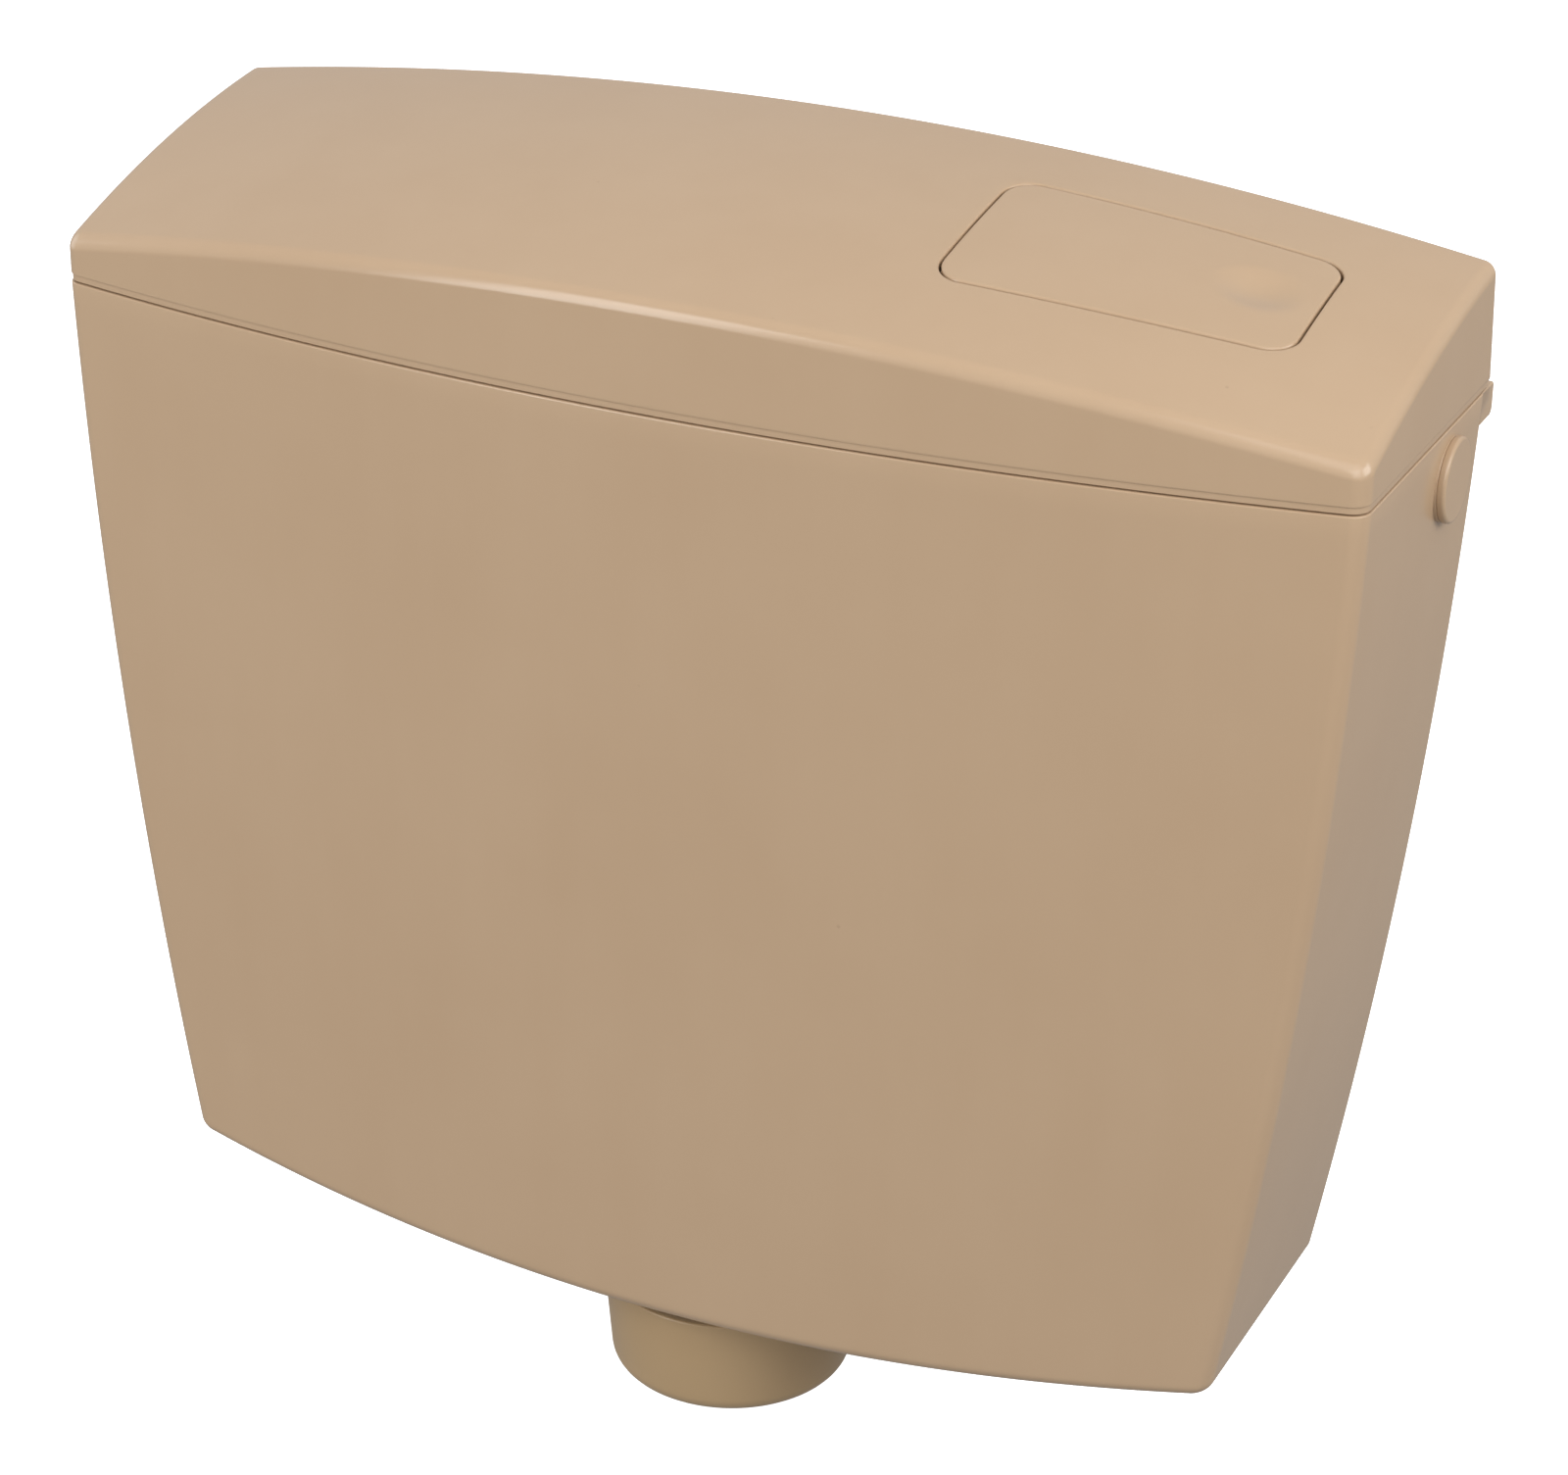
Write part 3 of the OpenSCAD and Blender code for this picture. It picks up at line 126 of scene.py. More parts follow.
def tank_rings(t, inset):
    """Rings round the tank at the shares t of its height, set in from its outer face. Back, front and bow
    change evenly with t. The floor rises by 15 * s^2 at the share s of the half width, and a point at
    the share t stands that share of the way from the floor to the rim."""
    t, inset = column(t, inset)
    half, back = tank_half(t), BACK - BACK_LEAN * (1 - t)
    front = back - FOOT_DEPTH - DEPTH_GAIN * t + inset
    x, y = plan_outline(half - inset, back - inset, front, FOOT_BOW + BOW_GAIN * t, *corner_radii(inset))
    floor = FOOT + FLOOR_RISE * np.minimum(1, np.abs(x) / half) ** 2
    return np.stack([x, y, floor + (RIM - floor) * t], axis=-1)


def tub_rings(inset, radius, t_end, edge_steps, wall_steps):
    """Rings of a tub's face set in from the tank's outer face: a quarter circle of that radius from the floor
    into the wall, then the wall up to the share t_end of the height, with one more ring near its foot."""
    turn = np.linspace(math.pi / 2, 0, edge_steps + 1)
    t_edge = (inset + radius * (1 - np.sin(turn))) / TANK_HEIGHT
    wall = t_edge[-1] + (t_end - t_edge[-1]) * np.linspace(0, 1, wall_steps + 1)[1:]
    near = t_edge[-1] + 0.004
    t = np.concatenate([t_edge, [near], wall])
    set_in = np.concatenate([inset + radius * (1 - np.cos(turn)), np.full(wall_steps + 1, inset)])
    return tank_rings(t, set_in)


def at_height(plan, z):
    """Rings with that plan at the height z, a number, a column or an array of one height for each point."""
    return np.concatenate([plan, np.broadcast_to(z, plan.shape[:2])[..., None]], axis=-1)


def outlet_circle(edge, radius):
    """Plan circle round the outlet, its points on the rays to the points of a tub's first ring."""
    turn = np.arctan2(edge[:, 1] - OUTLET_Y, edge[:, 0])
    return np.stack([radius * np.cos(turn), OUTLET_Y + radius * np.sin(turn)], axis=-1)


def outlet_ring(edge, radius, z):
    """That circle as a level ring at the height z."""
    return at_height(outlet_circle(edge, radius)[None], z)


def floor_rings(edge, radius, t, steps):
    """Rings of a floor between a circle round the outlet and the tub's first ring: each point runs straight
    from the circle to the ring along its own ray, at the floor's height for the share t."""
    circle = outlet_circle(edge, radius)
    share = np.linspace(0, 1, steps + 1)[:-1].reshape(-1, 1, 1)
    plan = circle + (edge[:, :2] - circle) * share
    floor = FOOT + FLOOR_RISE * (plan[..., :1] / tank_half(t)) ** 2
    return np.concatenate([plan, floor + (RIM - floor) * t], axis=-1)


def shell(rings, joined=False):
    """Closed skin through rings of points. The last ring joins the first, or the first and the last close
    with a fan to their middle. Faces are turned so that the volume is positive, so they point outwards."""
    rows, count = rings.shape[:2]
    points = rings.reshape(-1, 3)
    index = np.arange(rows * count).reshape(rows, count)
    here, above = (index, np.roll(index, -1, axis=0)) if joined else (index[:-1], index[1:])
    quads = np.stack([here, np.roll(here, -1, axis=1), np.roll(above, -1, axis=1), above], axis=-1)
    quads = quads.reshape(-1, 4)
    fans = np.empty((0, 3), int)
    if not joined:
        points = np.vstack([points, rings[0].mean(axis=0), rings[-1].mean(axis=0)])
        first, last = index[0], index[-1]
        low, high = np.full(count, rows * count), np.full(count, rows * count + 1)
        fans = np.vstack([np.stack([np.roll(first, -1), first, low], axis=-1),
                          np.stack([last, np.roll(last, -1), high], axis=-1)])
    corners = np.vstack([quads[:, :3], quads[:, [0, 2, 3]], fans])
    a, b, c = points[corners[:, 0]], points[corners[:, 1]], points[corners[:, 2]]
    if np.einsum("ij,ij->", a, np.cross(b, c)) < 0:
        quads, fans = quads[:, ::-1], fans[:, ::-1]
    return points, quads, fans


def filleted(corners, steps=6, closed=False):
    """Line through corners given as (across, along, radius), each corner with a radius replaced by an arc
    that touches both of its sides."""
    corners = np.asarray(corners, float)
    spots, radii = corners[:, :2], corners[:, 2]
    line = []
    for k, (spot, radius) in enumerate(zip(spots, radii)):
        inner = closed or 0 < k < len(spots) - 1
        if radius == 0 or not inner:
            line.append(spot[None])
            continue
        before, after = spots[k - 1] - spot, spots[(k + 1) % len(spots)] - spot
        before, after = before / np.linalg.norm(before), after / np.linalg.norm(after)
        half = math.acos(float(np.clip(before @ after, -1, 1))) / 2
        middle = spot + (before + after) / np.linalg.norm(before + after) * radius / math.sin(half)
        start = spot + before * radius / math.tan(half) - middle
        end = spot + after * radius / math.tan(half) - middle
        turn, f = math.pi - 2 * half, np.linspace(0, 1, steps + 1)[:, None]
        line.append(middle + (np.sin((1 - f) * turn) * start + np.sin(f * turn) * end) / math.sin(turn))
    return np.vstack(line)


def lathe(profile, axis, centre, count=96, joined=False):
    """Skin of revolution: each (radius, distance) of the profile becomes a circle of that radius round the
    axis through the centre, at that distance along it."""
    radius, distance = np.asarray(profile, float).T
    turn = np.linspace(0, 2 * math.pi, count, endpoint=False)
    rings = np.empty((len(radius), count, 3))
    a, u, v = {"x": (0, 1, 2), "y": (1, 2, 0), "z": (2, 0, 1)}[axis]
    rings[..., a] = distance[:, None]
    rings[..., u] = radius[:, None] * np.cos(turn)
    rings[..., v] = radius[:, None] * np.sin(turn)
    return shell(rings + np.asarray(centre, float), joined)


def bar(axis, radius, start, end, centre, edge=0.0, count=96):
    """Round bar or disc along the axis from start to end, with its edges rounded if edge isn't 0. Each end
    closes on a circle of a fiftieth of the radius."""
    tiny = radius * 0.02
    profile = filleted([(tiny, start, 0), (radius, start, edge), (radius, end, edge), (tiny, end, 0)])
    return lathe(profile, axis, centre, count)


def block(low, high, corner, edge):
    """Block between two corners, its upright edges rounded by the radius corner and those round its top and
    bottom by the radius edge: rounded rectangles stacked along Z, the first and the last next to nothing."""
    low, high = np.asarray(low, float), np.asarray(high, float)
    middle, half = (low + high) / 2, (high - low) / 2
    turn = np.linspace(0, math.pi / 2, 6)
    tiny = [half[:2].min() - 0.01]
    inset = np.concatenate([tiny, edge * (1 - np.sin(turn)), edge * (1 - np.cos(turn)), tiny])
    z = np.concatenate([[low[2]], low[2] + edge * (1 - np.cos(turn)),
                        high[2] - edge * (1 - np.sin(turn)), [high[2]]])
    radius = np.maximum(corner - inset, 0.005)
    x, y = plan_outline(half[0] - inset, half[1] - inset, inset - half[1], 0, radius, radius)
    return shell(np.stack([middle[0] + x, middle[1] + y, z[:, None] + 0 * x], axis=-1))


def solid(name, *shells):
    """Object at the origin made of closed skins, in metres."""
    start = np.cumsum([0] + [len(points) for points, quads, fans in shells])
    faces = [face for k, (points, quads, fans) in zip(start, shells)
             for part in (quads, fans) for face in (part + k).tolist()]
    places = np.vstack([points for points, quads, fans in shells]) * MILLIMETRE
    mesh = bpy.data.meshes.new(name)
    mesh.from_pydata(places.tolist(), [], faces)
    made = bpy.data.objects.new(name, mesh)
    bpy.context.scene.collection.objects.link(made)
    return made


def worked(piece, operation, *shells):
    """Unites the piece with closed skins, or cuts them out of it."""
    tool = solid(piece.name + "_tool", *shells)
    step = piece.modifiers.new(operation, "BOOLEAN")
    step.operation, step.solver, step.object = operation, "EXACT", tool
    ready = piece.evaluated_get(bpy.context.evaluated_depsgraph_get())
    mesh = bpy.data.meshes.new_from_object(ready)
    piece.modifiers.clear()
    piece.data = mesh
    bpy.data.objects.remove(tool)


def fitted(piece, material, body, slot, *nodes, sharp=35):
    """Gives the piece its finish, shades it smooth up to the angle sharp, and puts it on its body in place of
    its nodes. The slot is not used."""
    mesh = piece.data
    mesh.materials.clear()
    mesh.materials.append(material)
    mesh.polygons.foreach_set("use_smooth", np.ones(len(mesh.polygons), bool))
    mesh.set_sharp_from_angle(angle=math.radians(sharp))
    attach(piece, body)
    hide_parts(*nodes)


outer = tub_rings(0, FOOT_R, 1 - RIM_R / TANK_HEIGHT, 12, 44)
inner = tub_rings(TANK_WALL, FOOT_R - TANK_WALL, 1 - RIM_CHAMFER / TANK_HEIGHT, 8, 22)
inner_t = TANK_WALL / TANK_HEIGHT
shoulder_turn = np.linspace(0, math.pi / 2, 6)[1:]
shoulder = tank_rings(1 - RIM_R * (1 - np.sin(shoulder_turn)) / TANK_HEIGHT,
                      RIM_R * (1 - np.cos(shoulder_turn)))
tank = solid("tank_shell", shell(np.concatenate([
    outlet_ring(outer[0], OUTLET_HOLE_R, OUTLET_PAD_FOOT),
    outlet_ring(outer[0], OUTLET_PAD_R - PAD_CHAMFER, OUTLET_PAD_FOOT),
    outlet_ring(outer[0], OUTLET_PAD_R, OUTLET_PAD_FOOT + PAD_CHAMFER),
    floor_rings(outer[0], OUTLET_PAD_R + PAD_MARGIN, 0, 9),
    outer, shoulder, tank_rings(1, TANK_WALL - RIM_CHAMFER), inner[::-1],
    floor_rings(inner[0], OUTLET_PAD_R + PAD_MARGIN, inner_t, 8)[::-1],
    outlet_ring(inner[0], OUTLET_PAD_R, OUTLET_PAD_TOP - PAD_CHAMFER),
    outlet_ring(inner[0], OUTLET_PAD_R - PAD_CHAMFER, OUTLET_PAD_TOP),
    outlet_ring(inner[0], OUTLET_HOLE_R, OUTLET_PAD_TOP),
]), joined=True))

band_root = BACK - TANK_WALL + BAND_DROP
band_section = filleted([
    (band_root, RIM - BAND_DROP, 0), (0, RIM - BAND_DROP, BAND_EDGE_R), (0, RIM - BAND_HEIGHT, BAND_CHAMFER),
    (band_root, RIM - BAND_HEIGHT, 0),
], closed=True)
band_end, band_share = np.array([218.6, 219.1, 219.4]), np.array([1.0, 0.98, 0.94])
band_x = np.concatenate([-band_end[::-1], band_end])[:, None, None]
band_scale = np.concatenate([band_share[::-1], band_share])[:, None, None]
band_middle = np.array([BACK, RIM - BAND_HEIGHT / 2])
band_plan = band_middle + (band_section - band_middle) * band_scale
band = shell(np.concatenate([np.broadcast_to(band_x, band_plan.shape[:2] + (1,)), band_plan], axis=-1))
inlet_middle = (0, INLET_Y, INLET_Z)
worked(
    tank, "UNION", band,
    bar("x", INLET_PAD_R, INLET_PAD_IN, INLET_PAD_OUT, inlet_middle, INLET_PAD_EDGE_R),
    bar("x", INLET_PAD_R, -INLET_PAD_OUT, -INLET_PAD_IN, inlet_middle, INLET_PAD_EDGE_R),
    *(block((LEVER_X - LEDGE_WIDTH / 2, y0, LEDGE_FOOT), (LEVER_X + LEDGE_WIDTH / 2, y1, LEDGE_TOP),
            LEDGE_CORNER_R, LEDGE_EDGE_R) for y0, y1 in LEDGE_Y),
)
worked(
    tank, "DIFFERENCE",
    bar("x", INLET_HOLE_R, INLET_PAD_IN - CUT_PAST, INLET_PAD_OUT + CUT_PAST, inlet_middle),
    bar("x", INLET_HOLE_R, -INLET_PAD_OUT - CUT_PAST, -INLET_PAD_IN + CUT_PAST, inlet_middle),
    *(bar("y", FIXING_R, *FIXING_CUT, (x, 0, 0)) for x in (FIXING_X, -FIXING_X)),
)


def add(tree, kind, inputs=(), **settings):
    """Node of that kind in the tree, with its settings, and its inputs as values or other nodes' outputs."""
    node = tree.nodes.new("ShaderNode" + kind)
    for key, value in settings.items():
        setattr(node, key, value)
    for key, value in dict(inputs).items():
        if isinstance(value, bpy.types.NodeSocket):
            tree.links.new(value, node.inputs[key])
        else:
            node.inputs[key].default_value = value
    return node


def new_group(name, inputs, outputs):
    """Shader node group with named sockets. Returns the group, what is given to it and what it puts out."""
    group = bpy.data.node_groups.new(name, "ShaderNodeTree")
    for label, kind, value in inputs:
        socket = group.interface.new_socket(label, in_out="INPUT", socket_type="NodeSocket" + kind)
        socket.default_value = value
    for label, kind in outputs:
        group.interface.new_socket(label, in_out="OUTPUT", socket_type="NodeSocket" + kind)
    return group, group.nodes.new("NodeGroupInput").outputs, group.nodes.new("NodeGroupOutput").inputs


def new_material(name):
    """Material with a fresh tree. Returns it, its tree and its Principled shader."""
    material = bpy.data.materials.new(name)
    material.use_nodes = True
    tree = material.node_tree
    tree.nodes.clear()
    shader = add(tree, "BsdfPrincipled")
    tree.links.new(shader.outputs["BSDF"], add(tree, "OutputMaterial").inputs["Surface"])
    return material, tree, shader


def own_place(tree):
    """Place of each point in the piece's own coordinates."""
    return add(tree, "TexCoord").outputs["Object"]


def stretched(tree, place, scale):
    """The place scaled along X, Y and Z: a pattern read there is drawn out where the scale is small."""
    return add(tree, "Mapping", {"Vector": place, "Scale": scale}).outputs["Vector"]


def noise(tree, place, scale, detail, roughness=0.5):
    """Smooth noise at the place, from 0 to 1, with that many grains to the metre."""
    inputs = {"Vector": place, "Scale": scale, "Detail": detail, "Roughness": roughness}
    return add(tree, "TexNoise", inputs).outputs["Fac"]


def remap(tree, value, low=0.0, high=1.0, to_low=0.0, to_high=1.0):
    """The value's run from low to high carried over to the run from to_low to to_high, held at its ends."""
    inputs = {"Value": value, "From Min": low, "From Max": high, "To Min": to_low, "To Max": to_high}
    return add(tree, "MapRange", inputs).outputs["Result"]


def times(tree, a, b, plus=0.0):
    """a times b, plus a third value."""
    return add(tree, "Math", {0: a, 1: b, 2: plus}, operation="MULTIPLY_ADD").outputs[0]


def mixed(tree, share, first, second, way="MIX"):
    """Colour that goes from the first to the second with the share, or is their product where way says so."""
    return add(tree, "Mix", {0: share, 6: first, 7: second}, data_type="RGBA", blend_type=way).outputs[2]


def red_of(tree, colour):
    """The red part of a colour, as a value."""
    return add(tree, "SeparateColor", {"Color": colour}).outputs["Red"]


def surface(tree, shader, colour, roughness, height, strength, depth):
    """Gives the shader a colour, a roughness and a bump of that strength. The bump's full height is depth
    metres."""
    bump = add(tree, "Bump", {"Height": height, "Strength": strength, "Distance": depth}).outputs["Normal"]
    for label, source in (("Base Color", colour), ("Roughness", roughness), ("Normal", bump)):
        tree.links.new(source, shader.inputs[label])


# Moulded skin, shared by every plastic piece: broad clouds from uneven cooling, faint upright flow lines,
# sparse dark specks of burnt resin, dull scuffs and a fine orange peel.
BURNT_RESIN = (0.16, 0.1, 0.06, 1)
moulded, given, out = new_group(
    "moulded_plastic",
    [("Colour", "Color", (0.5, 0.4, 0.3, 1)), ("Cloud colour", "Color", (0.45, 0.36, 0.27, 1)),
     ("Clouds", "Float", 0.5), ("Specks", "Float", 0.5), ("Gloss", "Float", 0.2), ("Scuffs", "Float", 0.1)],
    [("Colour", "Color"), ("Roughness", "Float"), ("Height", "Float")],
)
place = own_place(moulded)
clouds = noise(moulded, place, 11.0, 3.0, 0.55)
flow = noise(moulded, stretched(moulded, place, (1.0, 1.0, 0.16)), 55.0, 2.0)
peel = noise(moulded, place, 900.0, 1.0, 0.4)
swell = noise(moulded, place, 34.0, 1.0, 0.4)
scuffs = remap(moulded, noise(moulded, place, 38.0, 7.0, 0.68), 0.58, 0.74)
cells = add(moulded, "TexVoronoi", {"Vector": place, "Scale": 46.0, "Randomness": 1.0}).outputs
speck_spot = remap(moulded, cells["Distance"], 0.022, 0.036, 1.0, 0.0)
speck_pick = remap(moulded, red_of(moulded, cells["Color"]), 0.86, 0.9)
specks = times(moulded, times(moulded, speck_spot, speck_pick), given["Specks"])
cloud_share = times(moulded, clouds, 0.7, times(moulded, flow, 0.3))
cloud_mask = times(moulded, remap(moulded, cloud_share, 0.36, 0.64), given["Clouds"])
tinted = mixed(moulded, cloud_mask, given["Colour"], given["Cloud colour"])
dull = times(moulded, scuffs, given["Scuffs"], given["Gloss"])
moulded.links.new(mixed(moulded, specks, tinted, BURNT_RESIN), out["Colour"])
moulded.links.new(times(moulded, flow, 0.03, dull), out["Roughness"])
moulded.links.new(times(moulded, swell, 0.9, times(moulded, peel, 0.1)), out["Height"])


def plastic(name, colour, cloud_colour, clouds, specks, gloss, scuffs):
    """Material of a moulded piece: the moulded skin with its own colours and values on a plastic surface."""
    material, tree, shader = new_material(name)
    skin = add(tree, "Group", {
        "Colour": (*colour, 1), "Cloud colour": (*cloud_colour, 1), "Clouds": clouds, "Specks": specks,
        "Gloss": gloss, "Scuffs": scuffs,
    }, node_tree=moulded).outputs
    surface(tree, shader, skin["Colour"], skin["Roughness"], skin["Height"], 0.35, 0.00035)
    shader.inputs["IOR"].default_value = 1.5
    return material


def glossy_beige(name):
    """Material of the tank, the cap, the lid and the plate, which are moulded from the same glossy beige."""
    return plastic(name, (0.50, 0.354, 0.228), (0.47, 0.325, 0.203), 0.5, 0.15, 0.19, 0.015)


fitted(tank, glossy_beige("shell_beige"), "tank", "shell", "tank")

# Insulation liner
# A tub of white bead foam glued inside the wetted part of the tank, so that cold water doesn't make the
# outside sweat. It is moulded in one piece, 6 mm thick, with a round hole over the outlet.
LINER_OUT, LINER_IN, LINER_HEIGHT, LINER_HOLE_R = 3.4, 9.4, 265.0, 46.8
LIP_R, LIP_PART = 1.0, 0.3
liner_t, lip_t, lip_part_t = LINER_HEIGHT / TANK_HEIGHT, LIP_R / TANK_HEIGHT, LIP_PART / TANK_HEIGHT
liner_outer = tub_rings(LINER_OUT, FOOT_R - LINER_OUT, liner_t - lip_t, 8, 22)
liner_inner = tub_rings(LINER_IN, FOOT_R, liner_t - lip_t, 8, 22)
liner_lip = tank_rings(
    np.array([liner_t - lip_part_t, liner_t, liner_t, liner_t - lip_part_t]),
    np.array([LINER_OUT + LIP_PART, LINER_OUT + LIP_R, LINER_IN - LIP_R, LINER_IN - LIP_PART]),
)
liner = solid("foam_liner", shell(np.concatenate([
    floor_rings(liner_outer[0], LINER_HOLE_R, LINER_OUT / TANK_HEIGHT, 7), liner_outer, liner_lip,
    liner_inner[::-1], floor_rings(liner_inner[0], LINER_HOLE_R, LINER_IN / TANK_HEIGHT, 7)[::-1],
]), joined=True))

# Bead foam, shared by the liner and both floats: cells for the pressed beads, each a little lighter or
# darker, with shaded joints between them.
beads, given, out = new_group(
    "bead_foam",
    [("Colour", "Color", (0.9, 0.9, 0.88, 1)), ("Beads", "Float", 260.0)],
    [("Colour", "Color"), ("Roughness", "Float"), ("Height", "Float")],
)
cell_inputs = {"Vector": own_place(beads), "Scale": given["Beads"], "Randomness": 0.9}
bead_joint = add(beads, "TexVoronoi", cell_inputs, feature="DISTANCE_TO_EDGE").outputs["Distance"]
bead_cell = add(beads, "TexVoronoi", cell_inputs).outputs["Color"]
bead_round = remap(beads, bead_joint, 0.0, 0.16)
bead_tone = remap(beads, red_of(beads, bead_cell), to_low=0.9)
bead_shade = times(beads, remap(beads, bead_round, to_low=0.78), bead_tone)
grey_inputs = {"Red": bead_shade, "Green": bead_shade, "Blue": bead_shade}
bead_grey = add(beads, "CombineColor", grey_inputs).outputs["Color"]
beads.links.new(mixed(beads, 1.0, given["Colour"], bead_grey, "MULTIPLY"), out["Colour"])
beads.links.new(remap(beads, bead_tone, 0.9, 1.0, 0.55, 0.75), out["Roughness"])
beads.links.new(bead_round, out["Height"])

foam_finish, tree, shader = new_material("white_bead_foam")
skin = add(tree, "Group", {"Colour": (0.86, 0.86, 0.84, 1), "Beads": 250.0}, node_tree=beads).outputs
surface(tree, shader, skin["Colour"], skin["Roughness"], skin["Height"], 0.6, 0.0006)
fitted(liner, foam_finish, "tank", "foam", "insulation_liner")

# Spacers and buffers behind the tank
# Two hard grey sleeves slip over the fixing screws, and two black rubber buffers are stuck on low down,
# so that the tank's leaning back stands upright off the wall.


def dress(material, *nodes):
    """Gives the material to CAD nodes whose shape stays as it is."""
    for node in nodes:
        for material_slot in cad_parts[node].material_slots:
            material_slot.material = material


grey_finish = plastic("grey_plastic", (0.36, 0.37, 0.385), (0.31, 0.32, 0.335), 0.7, 0.3, 0.36, 0.15)
rubber_finish, tree, shader = new_material("black_rubber")
place = own_place(tree)
grain = noise(tree, place, 1500.0, 3.0, 0.6)
bloom = noise(tree, place, 70.0, 5.0, 0.65)
bloom_mask = remap(tree, bloom, 0.45, 0.75, 0.0, 0.6)
rubber_colour = mixed(tree, bloom_mask, (0.018, 0.018, 0.02, 1), (0.06, 0.06, 0.063, 1))
surface(tree, shader, rubber_colour, remap(tree, bloom, to_low=0.45, to_high=0.72), grain, 0.3, 0.0002)
dress(grey_finish, "wall_spacers")
dress(rubber_finish, "wall_buffers")

# Outlet and its seals
# A white threaded spigot goes down through the floor with a rubber gasket under its flange, and a six-sided
# nut locks it from below. A rubber ring at its lower end seals the flush pipe.
white_finish = plastic("white_plastic", (0.78, 0.78, 0.75), (0.72, 0.72, 0.68), 0.6, 0.3, 0.3, 0.12)
dress(white_finish, "outlet_spigot", "outlet_lock_nut")
dress(rubber_finish, "outlet_gasket", "flush_pipe_seal")

# Union nut
# A smooth beige cup of moulded plastic that screws on to the outlet and squeezes the ring round the flush
# pipe. Its wall tapers downwards and its lower edge is well rounded; a threaded collar stands inside.
UNION_TOP, UNION_FOOT, UNION_IN = -293.5, -331.0, -326.0
UNION_TOP_R, UNION_FOOT_R, UNION_HOLE_R, UNION_WALL = 44.25, 41.0, 26.2, 3.0
UNION_FOOT_EDGE_R, UNION_EDGE_R, COLLAR_R, COLLAR_EDGE_R, COLLAR_UP = 7.0, 0.8, 29.95, 0.4, 1.0
collar_top, collar_out = UNION_TOP - UNION_WALL, COLLAR_R + UNION_WALL
union_profile = filleted([
    (UNION_TOP_R - UNION_WALL, UNION_TOP, UNION_EDGE_R), (UNION_TOP_R, UNION_TOP, UNION_EDGE_R),
    (UNION_FOOT_R, UNION_FOOT, UNION_FOOT_EDGE_R), (UNION_HOLE_R, UNION_FOOT, UNION_EDGE_R),
    (UNION_HOLE_R, UNION_IN, 0.3), (COLLAR_R, UNION_IN, 0),
    (COLLAR_R, collar_top, COLLAR_EDGE_R), (collar_out, collar_top, COLLAR_EDGE_R),
    (collar_out, UNION_IN + COLLAR_UP, 0.3), (UNION_FOOT_R - UNION_WALL, UNION_IN + UNION_FOOT_EDGE_R, 2),
], steps=8, closed=True)
union = solid("union_cup", lathe(union_profile, "z", (0, OUTLET_Y, 0), 128, joined=True))
nut_finish = plastic("nut_beige", (0.45, 0.312, 0.172), (0.42, 0.284, 0.15), 0.5, 0.15, 0.32, 0.02)
fitted(union, nut_finish, "tank", "nut", "union_nut")

# Flushing valve
# An open grey cage stands on the outlet and guides the white overflow tube. The tube carries the rubber seal
# with its retainer at the foot, a foam float that closes it late, and the grey yoke that lifts it.
dress(grey_finish, "valve_cage", "lift_yoke")
dress(white_finish, "overflow_tube", "seal_retainer")
dress(rubber_finish, "valve_seal")
dress(foam_finish, "closing_float")

# Lever, its bridge and its pin
# The moulded grey bridge lies on the tank's two ledges. The grey lever rocks between the bridge's lugs, on a
# pin of drawn steel.


def metal(name, grain, lines, stains, bright, stained, smooth, rough, bump):
    """Bare metal: fine lines, noise drawn out along the grain, change its roughness from smooth to rough and
    stand out as a bump, and soft stains change its colour."""
    material, tree, shader = new_material(name)
    place = own_place(tree)
    line = noise(tree, stretched(tree, place, grain), lines, 2.0)
    colour = mixed(tree, noise(tree, place, stains, 4.0, 0.6), (*bright, 1), (*stained, 1))
    surface(tree, shader, colour, remap(tree, line, to_low=smooth, to_high=rough), line, bump, 0.0001)
    shader.inputs["Metallic"].default_value = 1.0
    return material


steel_finish = metal("drawn_steel", (1.0, 0.04, 1.0), 2600.0, 160.0,
                     (0.56, 0.57, 0.58), (0.46, 0.46, 0.46), 0.2, 0.42, 0.2)
dress(grey_finish, "lever_bridge", "lift_lever")
dress(steel_finish, "lever_pin")

# Filling valve
# A white valve body whose threaded shank goes out through the left end, held by a nut and a rubber washer.
# A grey strainer sits in the shank and a turned brass nozzle inside; the plunger shuts on the nozzle.
brass_finish = metal("turned_brass", (1.0, 0.05, 0.05), 3000.0, 220.0,
                     (0.62, 0.44, 0.16), (0.45, 0.3, 0.1), 0.22, 0.4, 0.25)
dress(white_finish, "fill_valve_body", "inlet_lock_nut", "plunger")
dress(rubber_finish, "inlet_washer", "plunger_seal")
dress(grey_finish, "inlet_strainer", "fill_downpipe")
dress(brass_finish, "fill_nozzle")

# Float and its arm
# The grey arm turns on a steel pin in the valve's lugs. A threaded steel rod with a white knurled nut hangs
# the foam float from it.
dress(grey_finish, "float_arm")
dress(steel_finish, "float_arm_pin", "float_rod")
dress(white_finish, "rod_nut")
dress(foam_finish, "float")

